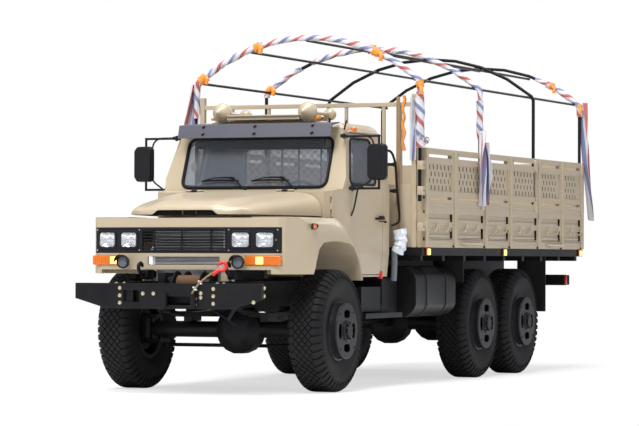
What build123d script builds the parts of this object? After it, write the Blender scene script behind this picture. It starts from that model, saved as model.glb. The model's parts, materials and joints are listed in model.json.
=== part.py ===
"""A military cargo truck with six driven wheels. Front is -Y, the vehicle's left is +X, ground is z = 0."""

import os
from math import atan, cos, radians, sin, sqrt

from build123d import *

os.makedirs("parts", exist_ok=True)

# Wheels and axles
tyre_radius = 568
half_track = 970
wheelbase = 3825
bogie_spacing = 1300
rim_radius = 257.7
wheel_face_reach = 215
seat_gap = 0.3
running_gap = 8

# Distances from the front axle to the two ends of the truck
front_reach = 1416
rear_reach = 7050
front_axle_y = (front_reach - rear_reach) / 2
middle_axle_y = front_axle_y + wheelbase
rear_axle_y = middle_axle_y + bogie_spacing

# Frame rails
rail_outer = 430
rail_flange = 75
rail_web = 10
rail_bottom = 785
rail_height = 240
rail_top = rail_bottom + rail_height
rail_front_y = front_axle_y - 1302
rail_rear_y = front_axle_y + 6520

# Bumper
bumper_half = 925
bumper_face_y = front_axle_y - 1366
bumper_depth = 64
bumper_plate = 10
bumper_top = 1009
bumper_end_bottom = 870
bumper_bottom = 780
bumper_knee = 610

# Nose and bonnet
nose_half = 957
nose_bottom = 1092
nose_top = 1600
nose_wall = 24
nose_seam_y = front_axle_y - 905
nose_front_y = front_axle_y - 1040
panel_low = 1280
panel_high = 1515
panel_half = 935
bonnet_wall = 24
bonnet_front_y = front_axle_y - 990
bonnet_rear_y = front_axle_y + 185
bonnet_edge_z = 1633
bonnet_low_gap = 8
bonnet_front_half = 590
bonnet_rear_half = 848
bonnet_front_z = 1672
bonnet_rear_z = 1868

# Front wheel arches
arch_z = 820
arch_top = 1395
fender_outer = 1088
fender_inner = 620
fender_top = 1610
fender_wall = 18
fender_border = 850
fender_border_x = 940
fender_tail_z = 1030

# Cab
cab_half = 962
cab_belt_z = 1900
cab_eaves_z = 2440
cab_eaves_half = 862
cab_roof_edge_z = 2450
cab_roof_z = 2572
cab_floor_z = 1062
cab_rear_y = front_axle_y + 1620
cab_wall = 42
screen_low = (front_axle_y + 498, 1893)
screen_high = (front_axle_y + 710, 2394)
screen_width = 1510
rear_window_width = 1180
rear_window_height = 400
rear_window_z = 2130
cowl_z = 1862
cowl_y = front_axle_y + 200
door_front_y = front_axle_y + 318
door_rear_y = front_axle_y + 1440
door_low_z = 1085
door_high_z = 2432
door_pillar = 56
door_gap = 8
glass_wall = 6

# Cargo bed
bed_front_y = front_axle_y + 1883
bed_rear_y = front_axle_y + 6914
bed_half = 1235
board_wall = 46
board_low = 1349
board_high = 2331
floor_top = 1349
floor_wall = 40
rim_low = 1270
bearer_height = 90
head_y = front_axle_y + 1822
head_wall = 50
head_high = 2855
gate_wall = 46
gate_gap = 10

# Hoops
hoop_radius = 17
hoop_inset = 27
hoop_half = bed_half - hoop_inset
hoop_elbow_z = 2993
hoop_crest_z = 3456
hoop_foot_z = 1800
hoop_ys = [front_axle_y + y for y in (1800, 3535, 5249, 6880)]
canopy_rail_radius = 13


def mirrored(point):
    return (-point[0], *point[1:])


def both_sides(points):
    """A half outline from bottom to top, closed by its mirror image."""
    return [*points, *[mirrored(point) for point in reversed(points) if point[0]]]


def side_plane(x):
    """The plane at x whose sketch reads (y, z)."""
    return Plane(origin=(x, 0, 0), x_dir=(0, 1, 0), z_dir=(1, 0, 0))


def faceted(rings):
    """A solid with flat faces between rings of corners, closed by its first and last ring."""
    walls = [Face(Wire.make_polygon(ring)) for ring in (rings[0], rings[-1])]
    for low, high in zip(rings, rings[1:]):
        for one in range(len(low)):
            two = (one + 1) % len(low)
            walls.append(Face(Wire.make_polygon([low[one], low[two], high[two], high[one]])))
    solid = Solid(Shell(walls))
    return solid if solid.volume > 0 else -solid


def flat_sided(sections, sides, plane):
    """A round body with flat sides, through sections given as distance along the plane's axis and radius."""
    turns = [radians(360 / sides * (side + 0.5)) for side in range(sides)]
    rings = []
    for distance, radius in sections:
        corner = radius / cos(radians(180 / sides))
        points = [Vector(corner * cos(turn), corner * sin(turn), distance) for turn in turns]
        rings.append([plane.from_local_coords(point) for point in points])
    return faceted(rings)


def rod(start, end, radius, sides=8):
    """A straight rod with flat sides between two points."""
    line = Edge.make_line(start, end)
    with BuildPart() as body:
        with BuildSketch(Plane(origin=start, z_dir=line % 0)):
            RegularPolygon(radius, sides, major_radius=False, rotation=180 / sides)
        extrude(amount=line.length)
    return body.part


def pin(start, end, radius):
    """A round pin between two points, on a hinge's axis."""
    line = Edge.make_line(start, end)
    return Solid.make_cylinder(radius, line.length, Plane(origin=start, z_dir=line % 0))


def bent_tube(points, radius, side_way, sides=8):
    """A tube with flat sides through the points, each section turned halfway into its bend."""
    points = [Vector(*point) for point in points]
    runs = [(end - start).normalized() for start, end in zip(points, points[1:])]
    with BuildPart() as tube:
        for point, before, after in zip(points, [runs[0], *runs], [*runs, runs[-1]]):
            with BuildSketch(Plane(origin=point, x_dir=side_way, z_dir=before + after)):
                RegularPolygon(radius, sides, major_radius=False, rotation=180 / sides)
        loft(ruled=True)
    return tube.part


def eased_window(width, height, corner=62):
    """A window's rectangle with each corner taken off in three short edges."""
    with BuildSketch() as window:
        Rectangle(width, height)
        chamfer(window.vertices(), corner)
        chamfer(window.vertices(), corner * 0.3)
    return window.sketch


# Wheels: the rim's seat and the tyre's bore have the same flat sides, so the gap between them is even
tyre_sides = 28
wheel_sides = 20
bead_half = 124
# Tyre section: distance from the wheel's middle plane, radius
tyre_section = [(bead_half, 283), (165, 430), (158, 512), (124, tyre_radius)]
tyre_body = flat_sided(
    [mirrored(point) for point in tyre_section] + tyre_section[::-1], tyre_sides, Plane.YZ
)
with BuildPart() as tyre:
    add(tyre_body)
    with BuildSketch(Plane.YZ.offset(-2 * bead_half)):
        RegularPolygon(rim_radius + seat_gap, wheel_sides, major_radius=False, rotation=180 / wheel_sides)
    extrude(amount=4 * bead_half, mode=Mode.SUBTRACT)

disc_wall = 14
hub_bore = 60
rim_inside = 240
flange_x = bead_half + seat_gap
# Rim section: distance from the wheel's middle plane, radius
rim_section = [
    (-flange_x - 9, 279), (-flange_x, rim_radius), (flange_x, rim_radius), (flange_x + 7, 279),
    (wheel_face_reach - 19, 275), (wheel_face_reach, 262),
]
# One of the disc's four slots: radius, angle
slot_outline = [(196, -18), (196, 18), (174, 26), (138, 25), (120, 12), (120, -12), (138, -25), (174, -26)]
with BuildPart() as rim:
    add(flat_sided(rim_section, wheel_sides, Plane.YZ))
    with BuildSketch(Plane.YZ.offset(-2 * bead_half)):
        RegularPolygon(rim_inside, wheel_sides, major_radius=False, rotation=180 / wheel_sides)
    extrude(amount=2 * bead_half + wheel_face_reach - disc_wall, mode=Mode.SUBTRACT)
    with BuildSketch(Plane.YZ.offset(wheel_face_reach)):
        RegularPolygon(hub_bore + 38, 12, major_radius=False)
    extrude(amount=12)
    with BuildSketch(Plane.YZ.offset(wheel_face_reach + 13)):
        Circle(hub_bore)
        with PolarLocations(0, 4):
            with BuildLine():
                corners = [(r * cos(radians(turn)), r * sin(radians(turn))) for r, turn in slot_outline]
                Polyline(*corners, close=True)
            make_face()
        with PolarLocations(232, 4, start_angle=12):
            RegularPolygon(11, 4)
    extrude(amount=-disc_wall - 40, mode=Mode.SUBTRACT)

# Wheel name: side, axle y
wheel_places = {}
for axle, y in (("front", front_axle_y), ("middle", middle_axle_y), ("rear", rear_axle_y)):
    for side, sign in (("left", 1), ("right", -1)):
        wheel_places[f"{axle}_{side}"] = (sign, y)

for place, (sign, y) in wheel_places.items():
    for piece, shape in (("tyre", tyre), ("wheel", rim)):
        with BuildPart(Location((sign * half_track, y, tyre_radius))) as placed:
            add(shape.part, rotation=(0, 0, 0 if sign > 0 else 180))
        placed.part.label = f"{piece}_{place}"
        export_step(placed.part, f"parts/{piece}_{place}.step")

# Axles
axle_tube_radius = 75
diff_radius = 222
diff_offset = 110
pinion_reach = 305
pinion_z = tyre_radius + 30
spindle_radius = hub_bore - seat_gap
spindle_reach = 245
kingpin_x = 800
yoke_radius = 92
yoke_gap = 6
tie_arm_x = kingpin_x - 45
yoke_wall = 38
drum_radius = 200
tie_rod_radius = 17
tie_eye_half = 19
tie_arm = 190


def axle_housing(y, half, spindles, facing):
    """A tube with a round differential bowl and its pinion nose, and the drums if the wheels don't steer."""
    bowl_sections = [(-130, 125), (-72, diff_radius), (72, diff_radius), (130, 125)]
    with BuildPart() as housing:
        add(rod((-half, y, tyre_radius), (half, y, tyre_radius), axle_tube_radius, 12))
        bowl_plane = Plane(origin=(diff_offset, y, tyre_radius), x_dir=(1, 0, 0), z_dir=(0, 1, 0))
        add(flat_sided(bowl_sections, 16, bowl_plane))
        add(rod((diff_offset, y, pinion_z), (diff_offset, y + facing * pinion_reach, pinion_z), 75, 12))
        if spindles:
            for sign in (1, -1):
                with BuildSketch(Plane.YZ.offset(sign * (half_track + 25))):
                    with Locations((y, tyre_radius)):
                        RegularPolygon(drum_radius, 16)
                extrude(amount=-sign * 170)
                end_x = sign * (half_track + spindle_reach)
                add(pin((end_x - sign * 300, y, tyre_radius), (end_x, y, tyre_radius), spindle_radius))
    return housing.part


with BuildPart() as front_axle:
    add(axle_housing(front_axle_y, kingpin_x - 60, False, 1))
    for sign in (1, -1):
        end_x = sign * (kingpin_x + 5)
        add(rod((end_x - sign * 90, front_axle_y, tyre_radius), (end_x, front_axle_y, tyre_radius), 70, 12))
        half_height = yoke_radius + yoke_gap - seat_gap
        kingpin_low = (sign * kingpin_x, front_axle_y, tyre_radius - half_height)
        add(pin(kingpin_low, (sign * kingpin_x, front_axle_y, tyre_radius + half_height), 40))
front_axle.part.label = "front_axle"
export_step(front_axle.part, "parts/front_axle.step")

with BuildPart() as rear_axles:
    for y in (middle_axle_y, rear_axle_y):
        add(axle_housing(y, half_track - 60, True, -1))
rear_axles.part.label = "rear_axles"
export_step(rear_axles.part, "parts/rear_axles.step")

# Each steering knuckle is a yoke round the axle's end, with a drum and the wheel's spindle outside it
tie_arm_z = tyre_radius - yoke_radius - yoke_gap - yoke_wall / 2
for side, sign in (("left", 1), ("right", -1)):
    with BuildPart() as knuckle:
        for up in (1, -1):
            yoke_z = tyre_radius + up * (yoke_radius + yoke_gap + yoke_wall / 2)
            with Locations((sign * (kingpin_x + 25), front_axle_y, yoke_z)):
                Box(150, 110, yoke_wall)
        with Locations((sign * (kingpin_x + 85), front_axle_y, tyre_radius)):
            Box(36, 150, 2 * (yoke_radius + yoke_gap + yoke_wall))
        with BuildSketch(Plane.YZ.offset(sign * (half_track + 55))):
            with Locations((front_axle_y, tyre_radius)):
                RegularPolygon(drum_radius, 16)
        extrude(amount=-sign * 130)
        end_x = sign * (half_track + spindle_reach)
        spindle_start = (end_x - sign * 300, front_axle_y, tyre_radius)
        add(pin(spindle_start, (end_x, front_axle_y, tyre_radius), spindle_radius))
        with Locations((sign * tie_arm_x, front_axle_y + tie_arm / 2, tie_arm_z)):
            Box(50, tie_arm + 40, yoke_wall)
    knuckle.part.label = f"knuckle_{side}"
    export_step(knuckle.part, f"parts/knuckle_{side}.step")

tie_rod_z = tie_arm_z - yoke_wall / 2 - tie_eye_half - seat_gap
tie_rod_y = front_axle_y + tie_arm
with BuildPart() as tie_rod:
    add(rod((-tie_arm_x, tie_rod_y, tie_rod_z), (tie_arm_x, tie_rod_y, tie_rod_z), tie_rod_radius))
    for sign in (1, -1):
        with BuildSketch(Plane.XY.offset(tie_rod_z - tie_eye_half)):
            with Locations((sign * tie_arm_x, tie_rod_y)):
                RegularPolygon(30, 12)
        extrude(amount=2 * tie_eye_half)
tie_rod.part.label = "tie_rod"
export_step(tie_rod.part, "parts/tie_rod.step")

# Leaf springs
spring_x = rail_outer - rail_flange / 2
spring_width = 80
leaf_wall = 14
front_leaves = 6
front_spring_half = 690
front_pad_z = tyre_radius + axle_tube_radius
front_rise = 42
spring_top = front_pad_z + front_leaves * leaf_wall + front_rise + seat_gap
bogie_y = (middle_axle_y + rear_axle_y) / 2


def arched_leaf(y, half, low, wall):
    """One leaf from the side: its ends are higher than its middle, on the main leaf's curve."""
    steps = [-1, -0.5, 0, 0.5, 1]
    curve = [(y + step * half, low + front_rise * (step * half / front_spring_half) ** 2) for step in steps]
    with BuildSketch() as leaf:
        with BuildLine():
            Polyline(*curve, *[(along, z + wall) for along, z in reversed(curve)], close=True)
        make_face()
    return leaf.sketch


with BuildPart() as leaf_springs:
    for sign in (1, -1):
        with BuildSketch(side_plane(sign * spring_x - spring_width / 2)):
            top_leaf = front_pad_z + (front_leaves - 1) * leaf_wall
            for leaf, share in enumerate((1, 0.8, 0.55)):
                low = top_leaf - leaf * leaf_wall
                add(arched_leaf(front_axle_y, front_spring_half * share, low, leaf_wall))
            clamp_height = top_leaf + leaf_wall / 2 - front_pad_z
            with Locations((front_axle_y, front_pad_z + clamp_height / 2)):
                Rectangle(220, clamp_height)
        extrude(amount=spring_width)
        with BuildSketch(side_plane(sign * spring_x - spring_width / 2)):
            with BuildLine():
                end_z = tyre_radius + axle_tube_radius
                Polyline(
                    (middle_axle_y - 70, end_z), (middle_axle_y + 70, end_z),
                    (bogie_y - 120, rail_bottom - 150), (bogie_y + 120, rail_bottom - 150),
                    (rear_axle_y - 70, end_z), (rear_axle_y + 70, end_z),
                    (rear_axle_y + 70, end_z + 24), (bogie_y + 120, rail_bottom - 40),
                    (bogie_y - 120, rail_bottom - 40), (middle_axle_y - 70, end_z + 24), close=True,
                )
            make_face()
        extrude(amount=spring_width)
leaf_springs.part.label = "leaf_springs"
export_step(leaf_springs.part, "parts/leaf_springs.step")

# Frame: two channel rails with spring hangers and bogie brackets
with BuildPart() as frame:
    for sign in (1, -1):
        with BuildSketch(Plane.XZ.offset(-rail_front_y)):
            with Locations((sign * (rail_outer - rail_flange / 2), rail_bottom + rail_height / 2)):
                Rectangle(rail_flange, rail_height)
            with Locations((sign * (rail_outer - rail_web - rail_flange / 2), rail_bottom + rail_height / 2)):
                Rectangle(rail_flange, rail_height - 2 * rail_web, mode=Mode.SUBTRACT)
        extrude(amount=-(rail_rear_y - rail_front_y))
        for end in (-1, 1):
            hanger_y = front_axle_y + end * (front_spring_half - 20)
            with Locations((sign * spring_x, hanger_y, (spring_top + rail_bottom + rail_web) / 2)):
                Box(spring_width - 5, 60, rail_bottom + rail_web - spring_top)
        with Locations((sign * spring_x, bogie_y, rail_bottom - 19)):
            Box(spring_width - 5, 220, 42)
frame.part.label = "frame"
export_step(frame.part, "parts/frame.step")

# Crossmembers between the rails' webs
crossmember_ys = [
    rail_front_y + 60, *[front_axle_y + y for y in (-620, 900, 1900, 2900, 3825, 4475, 5125, 6300)]
]
with BuildPart() as crossmembers:
    for y in crossmember_ys:
        with Locations((0, y, rail_bottom + rail_height / 2)):
            Box(2 * (rail_outer - rail_web), 80, rail_height - 90)
crossmembers.part.label = "crossmembers"
export_step(crossmembers.part, "parts/crossmembers.step")


# Bumper: a folded plate with tapered ends, a square hole and a slot for the winch rope
def bumper_outline(inset):
    """The bumper's face as (x, z), set in from its edges."""
    with BuildSketch() as outline:
        with BuildLine():
            Polyline(
                (-bumper_half + inset, bumper_end_bottom + inset), (-bumper_half + inset, bumper_top - inset),
                (bumper_half - inset, bumper_top - inset), (bumper_half - inset, bumper_end_bottom + inset),
                (bumper_knee, bumper_bottom + inset), (-bumper_knee, bumper_bottom + inset), close=True,
            )
        make_face()
    return outline.sketch


fairlead_x = 128
fairlead_z = 854
with BuildPart() as bumper:
    with BuildSketch(Plane.XZ.offset(-bumper_face_y)):
        add(bumper_outline(0))
    extrude(amount=-bumper_depth)
    with BuildSketch(Plane.XZ.offset(-bumper_face_y - bumper_plate)):
        add(bumper_outline(bumper_plate))
    extrude(amount=-bumper_depth, mode=Mode.SUBTRACT)
    for sign in (1, -1):
        with Locations((sign * spring_x, bumper_face_y + bumper_depth / 2, rail_bottom + 110)):
            Box(rail_flange, bumper_depth, 200)
    with Locations((-358, bumper_face_y, 893)):
        Box(160, 60, 106, mode=Mode.SUBTRACT)
    with Locations((fairlead_x, bumper_face_y, fairlead_z)):
        Box(254, 60, 77, mode=Mode.SUBTRACT)
bumper.part.label = "bumper"
export_step(bumper.part, "parts/bumper.step")

# Winch behind the bumper on its plate, and the two guide rollers in front
winch_x = 60
winch_y = front_axle_y - 1060
winch_z = rail_top + 4
roller_radius = (front_reach + bumper_face_y - front_axle_y) / 2 - seat_gap
with BuildPart() as winch:
    add(rod((winch_x - 210, winch_y, winch_z), (winch_x + 210, winch_y, winch_z), 42, 12))
    add(rod((winch_x - 10, winch_y, winch_z), (winch_x + 10, winch_y, winch_z), 88, 16))
    for end in (-1, 1):
        with Locations((winch_x + end * 220, winch_y, winch_z)):
            Box(70, 190, 150)
    with Locations((0, winch_y, rail_top - 80)):
        Box(2 * (rail_outer - rail_web), 160, 20)
    for end in (-1, 1):
        with BuildSketch(Plane.XY.offset(fairlead_z - 60)):
            with Locations((fairlead_x + end * 142, bumper_face_y - roller_radius - seat_gap)):
                RegularPolygon(roller_radius, 12, major_radius=False, rotation=15)
        extrude(amount=120)
winch.part.label = "winch"
export_step(winch.part, "parts/winch.step")

# Engine and gearbox as plain blocks, and the radiator on the rails
radiator_y = front_axle_y - 875
with BuildPart() as engine:
    with Locations((0, front_axle_y - 270, rail_top + 190)):
        Box(560, 860, 460)
    with Locations((0, front_axle_y - 270, rail_top - 90)):
        Box(300, 560, 100)
engine.part.label = "engine"
export_step(engine.part, "parts/engine.step")

with BuildPart() as radiator:
    with Locations((0, radiator_y, rail_top + 245)):
        Box(660, 70, 430)
    with Locations((0, radiator_y, rail_top + 15)):
        Box(2 * rail_outer, 70, 30)
radiator.part.label = "radiator"
export_step(radiator.part, "parts/radiator.step")

# Nose seen from above, half of it: x, distance behind the foremost point
nose_line = [(0, 0), (500, 18), (840, 50), (915, 75)]


def nose_y(x):
    """The nose's front face at a distance x from the middle."""
    for (near, near_back), (far, far_back) in zip(nose_line, nose_line[1:]):
        if abs(x) <= far:
            return nose_front_y + near_back + (far_back - near_back) * (abs(x) - near) / (far - near)
    return nose_seam_y


def nose_plan(inset):
    """The nose from above, set in from its outer faces: a bowed front and a straight back at the seam."""
    with BuildSketch() as plan:
        with BuildLine():
            front = [(x * (1 - inset / nose_half), nose_front_y + back + inset) for x, back in nose_line]
            Polyline(*both_sides([(nose_half - inset, nose_seam_y), *reversed(front)]), close=True)
        make_face()
    return plan.sketch


with BuildPart() as nose_panel:
    with BuildSketch(Plane.XY.offset(nose_bottom)):
        add(nose_plan(0))
        add(nose_plan(nose_wall), mode=Mode.SUBTRACT)
    extrude(amount=nose_top - nose_bottom)
    with BuildSketch(Plane.XY.offset(nose_top - nose_wall)):
        add(nose_plan(0))
        with Locations((0, front_axle_y)):
            Rectangle(1160, 1900, mode=Mode.SUBTRACT)
    extrude(amount=nose_wall)
    with Locations((0, nose_front_y, (panel_low + panel_high) / 2)):
        Box(2 * panel_half, 230, panel_high - panel_low, mode=Mode.SUBTRACT)
    with Locations((0, nose_front_y, 1212)):
        Box(720, 150, 75, mode=Mode.SUBTRACT)
    with Locations((0, nose_front_y, nose_bottom)):
        Box(1700, 160, 76, mode=Mode.SUBTRACT)
    for sign in (1, -1):
        with Locations((sign * 775, nose_front_y, 1215)):
            Box(340, 220, 92, mode=Mode.SUBTRACT)
        with Locations((sign * spring_x, nose_front_y + nose_wall + 34, (rail_top + 1180) / 2)):
            Box(60, 50, 1180 - rail_top)
nose_panel.part.label = "nose_panel"
export_step(nose_panel.part, "parts/nose_panel.step")

# Grille panel: lamp openings, a wide opening with bars and the frame round them
lamp_xs = (-790, -560, 560, 790)
lamp_z = 1402
lamp_width = 178
lamp_height = 144
grille_half = 415
bar_count = 7
bar_pitch = 27
bar_height = 10
with BuildPart() as grille:
    with BuildSketch(Plane.XY.offset(panel_low + seat_gap)):
        add(nose_plan(0))
        add(nose_plan(nose_wall), mode=Mode.SUBTRACT)
        with Locations((0, front_axle_y - 1000)):
            Rectangle(2 * (panel_half - seat_gap), 150, mode=Mode.INTERSECT)
    extrude(amount=panel_high - panel_low - 2 * seat_gap)
    for x in lamp_xs:
        with Locations((x, nose_y(x), lamp_z)):
            Box(lamp_width, 130, lamp_height, mode=Mode.SUBTRACT)
    with Locations((0, nose_front_y, lamp_z)):
        Box(2 * grille_half, 130, (bar_count + 0.04) * bar_pitch, mode=Mode.SUBTRACT)
    for row in range(bar_count):
        with BuildSketch(Plane.XY.offset(lamp_z + (row - (bar_count - 1) / 2) * bar_pitch - bar_height / 2)):
            add(nose_plan(4))
            add(nose_plan(nose_wall - 4), mode=Mode.SUBTRACT)
            with Locations((0, front_axle_y - 1000)):
                Rectangle(2 * grille_half + 4, 150, mode=Mode.INTERSECT)
        extrude(amount=bar_height)
grille.part.label = "grille"
export_step(grille.part, "parts/grille.step")

# Lamps: four in the panel, and a small hooded lamp on a stalk below each inner one
with BuildPart() as front_lamps:
    for x in lamp_xs:
        with Locations((x, nose_y(x) + 56, lamp_z)):
            Box(lamp_width - 2 * seat_gap, 100, lamp_height - 2 * seat_gap)
    for sign in (1, -1):
        dome_x = sign * 576
        stalk_end = nose_y(dome_x - sign * 14) - seat_gap
        add(flat_sided(
            [(-45, 40), (-25, 56), (30, 56), (45, 36)], 12,
            Plane(origin=(dome_x, front_axle_y - 1085, 1200), x_dir=(1, 0, 0), z_dir=(0, 1, 0)),
        ))
        with Locations((dome_x, (front_axle_y - 1060 + stalk_end) / 2, 1200)):
            Box(28, stalk_end - front_axle_y + 1060, 28)
front_lamps.part.label = "front_lamps"
export_step(front_lamps.part, "parts/front_lamps.step")

# Turn lamps in the nose, side markers on the bed and a repeater on each fender
marker_ys = [front_axle_y + y for y in (1930, 4197, 6781)]
with BuildPart() as amber_lamps:
    for sign in (1, -1):
        with Locations((sign * 775, nose_y(775) + 38, 1215)):
            Box(340 - 2 * seat_gap, 56, 92 - 2 * seat_gap)
        for y in marker_ys:
            with Locations((sign * (bed_half + 15), y, rim_low + 38)):
                Box(30, 82, 70)
        with Locations((sign * (fender_outer + 1.5), front_axle_y - 567, 1526)):
            Box(30, 90, 46)
amber_lamps.part.label = "amber_lamps"
export_step(amber_lamps.part, "parts/amber_lamps.step")

# Front fenders: thin shells open below and inside. Behind the axle each is turned about the arch's centre.
# Wheel opening seen from the side: y and z, both from the front axle's arch centre
opening_outline = [
    (-620, -28), (-545, 272), (-490, 405), (-435, 498), (-335, 558), (-150, arch_top - arch_z),
    (75, arch_top - arch_z), (300, 556), (425, 520), (510, 452), (560, 370), (579, fender_tail_z - arch_z),
    (590, -28),
]
# Fender cut across the axle: x, height above the arch's centre
fender_outline = [
    (fender_outer, 636), (fender_outer - 28, 730), (fender_outer - 78, 795), (fender_border_x, fender_border)
]
fender_turns = range(0, 100, 10)


def fender_section(turn, low, inset):
    """The fender's cross-section, turned back by an angle about the arch's centre."""
    lean = radians(turn)
    plane = Plane(origin=(0, front_axle_y, arch_z), x_dir=(1, 0, 0), z_dir=(0, -cos(lean), sin(lean)))
    inside = fender_inner - 60
    with BuildSketch(plane) as section:
        with BuildLine():
            Polyline((inside, low), (fender_outer, low), *fender_outline, (inside, fender_border), close=True)
        make_face()
        if inset:
            offset(amount=-inset, kind=Kind.INTERSECTION, mode=Mode.REPLACE)
    return section.sketch


def fender_solid(inset):
    """The left fender's full body, with its walls set in by the inset."""
    with BuildPart() as body:
        with BuildSketch(Plane(origin=(0, front_axle_y, arch_z), x_dir=(1, 0, 0), z_dir=(0, -1, 0))):
            with BuildLine():
                Polyline(
                    (fender_inner - 60, 0), (fender_outer, 0), *fender_outline,
                    (fender_inner - 60, fender_border), close=True,
                )
            make_face()
            if inset:
                offset(amount=-inset, kind=Kind.INTERSECTION, mode=Mode.REPLACE)
        extrude(amount=front_axle_y - nose_seam_y)
        loft([fender_section(turn, 200, inset).face() for turn in fender_turns], ruled=True)
        with BuildSketch(Plane.XY.offset(nose_bottom - 300)):
            with BuildLine():
                Polyline(
                    (fender_inner - 60, nose_seam_y), (nose_half - inset, nose_seam_y),
                    (fender_outer - inset, front_axle_y - 520),
                    (fender_outer - inset, front_axle_y + fender_border),
                    (fender_inner - 60, front_axle_y + fender_border), close=True,
                )
            make_face()
        extrude(amount=fender_top - inset - nose_bottom + 300, mode=Mode.INTERSECT)
        with BuildSketch(side_plane(fender_inner - 100)):
            with BuildLine():
                Polyline(*[(front_axle_y + y, arch_z + z) for y, z in opening_outline], close=True)
            make_face()
            if inset:
                offset(amount=inset, kind=Kind.INTERSECTION, mode=Mode.REPLACE)
        extrude(amount=600, mode=Mode.SUBTRACT)
    return body.part


with BuildPart() as fenders:
    add(fender_solid(0))
    add(fender_solid(fender_wall), mode=Mode.SUBTRACT)
    with BuildSketch(side_plane(fender_inner)):
        with BuildLine():
            Polyline(
                (nose_seam_y, nose_bottom), (front_axle_y, nose_bottom), (front_axle_y, fender_tail_z),
                (front_axle_y + fender_border, fender_tail_z), (front_axle_y + fender_border, fender_top + 1),
                (nose_seam_y, fender_top + 1), close=True,
            )
        make_face()
    extrude(amount=600, mode=Mode.INTERSECT)
    mirror(about=Plane.YZ)
fenders.part.label = "fenders"
export_step(fenders.part, "parts/fenders.step")

# Cab front outline, half of it: x, z from the floor to the middle of the roof
cab_outline = [
    (cab_half - 27, cab_floor_z - 1), (cab_half - 4, 1300), (cab_half, cab_belt_z),
    (cab_eaves_half, cab_eaves_z), (cab_eaves_half - 22, 2497), (cab_eaves_half - 92, 2533),
    (420, cab_roof_z - 6), (0, cab_roof_z + 1),
]


def cab_solid(inset):
    """The meeting of a side outline, a front outline and a plan, each set in by the inset."""
    with BuildPart() as solid:
        with BuildSketch(side_plane(-cab_half - 50)):
            with BuildLine():
                arch_r = fender_border + door_gap
                start_z = fender_top + door_gap
                start_y = front_axle_y + sqrt(arch_r**2 - (start_z - arch_z) ** 2)
                end_y = front_axle_y + sqrt(arch_r**2 - (cab_floor_z - arch_z) ** 2)
                Polyline(
                    (end_y, cab_floor_z), (cab_rear_y, cab_floor_z), (cab_rear_y, cab_roof_edge_z - 200),
                    (cab_rear_y - 42, cab_roof_edge_z), (cab_rear_y - 110, cab_roof_z),
                    (screen_high[0] + 120, cab_roof_z), (screen_high[0] + 10, 2480), screen_high, screen_low,
                    (cowl_y, cowl_z), (cowl_y, start_z), (start_y, start_z),
                )
                ThreePointArc(
                    (start_y, start_z),
                    (front_axle_y + arch_r * cos(radians(45)), arch_z + arch_r * sin(radians(45))),
                    (end_y, cab_floor_z),
                )
            make_face()
            if inset:
                offset(amount=-inset, kind=Kind.INTERSECTION, mode=Mode.REPLACE)
        extrude(amount=2 * cab_half + 100)
        with BuildSketch(Plane.XZ.offset(-cab_rear_y - 50)):
            with BuildLine():
                Polyline(*both_sides(cab_outline), close=True)
            make_face()
            if inset:
                offset(amount=-inset, kind=Kind.INTERSECTION, mode=Mode.REPLACE)
        extrude(amount=cab_rear_y - cowl_y + 100, mode=Mode.INTERSECT)
        with BuildSketch(Plane.XY.offset(cab_floor_z - 20)):
            with BuildLine():
                Polyline(*both_sides([
                    (cab_half + 1, cab_rear_y + 1), (cab_half + 1, cowl_y + 430), (860, cowl_y - 1),
                ]), close=True)
            make_face()
            if inset:
                offset(amount=-inset, kind=Kind.INTERSECTION, mode=Mode.REPLACE)
        extrude(amount=cab_roof_z, mode=Mode.INTERSECT)
    return solid.part


def roof_height(x):
    """The roof's height at a distance x from the middle, on its inner slope."""
    return cab_roof_z + 1 - 7 * x / 420


def door_outline(gap):
    """The door seen from the side, as (y, z), grown by the gap all round."""
    with BuildSketch() as outline:
        with BuildLine():
            Polyline(
                (door_front_y - gap, door_low_z - gap), (door_front_y - gap, cab_belt_z - 30),
                (screen_low[0] + door_pillar - gap, cab_belt_z),
                (screen_high[0] + door_pillar + 14 - gap, door_high_z + gap),
                (door_rear_y + gap, door_high_z + gap), (door_rear_y + gap, door_low_z - gap), close=True,
            )
        make_face()
        with Locations((front_axle_y, arch_z)):
            Circle(fender_border + 2 * door_gap - gap, mode=Mode.SUBTRACT)
    return outline.sketch


def door_window(margin):
    """The door's window as (y, z), made smaller by the margin."""
    with BuildSketch() as window:
        with BuildLine():
            Polyline(
                (front_axle_y + 615, 1945), (front_axle_y + 802, 2385), (door_rear_y - 130, 2385),
                (door_rear_y - 155, 1945), close=True,
            )
        make_face()
        chamfer(window.vertices(), 55)
        chamfer(window.vertices(), 17)
        if margin:
            offset(amount=-margin, kind=Kind.INTERSECTION, mode=Mode.REPLACE)
    return window.sketch


def cab_side_x(z):
    """Half the cab's width at a height above the belt line."""
    return cab_half - (cab_half - cab_eaves_half) * max(z - cab_belt_z, 0) / (cab_eaves_z - cab_belt_z)


hinge_radius = 8
door_hinge_x = 902
door_hinge_y = door_front_y - running_gap / 2
door_hinge_zs = (1690, 1812)
bonnet_hinge_x = 470
bonnet_hinge_y = (bonnet_rear_y + cowl_y) / 2
bonnet_hinge_z = 1876
knuckle_length = 60

screen_plane = Plane(
    origin=(0, *screen_low), x_dir=(1, 0, 0),
    z_dir=(0, screen_low[1] - screen_high[1], screen_high[0] - screen_low[0]),
)
screen_slope = sqrt((screen_high[0] - screen_low[0]) ** 2 + (screen_high[1] - screen_low[1]) ** 2)
screen_height = screen_slope - 34
outer_cab = cab_solid(0)
inner_cab = cab_solid(cab_wall)

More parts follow.
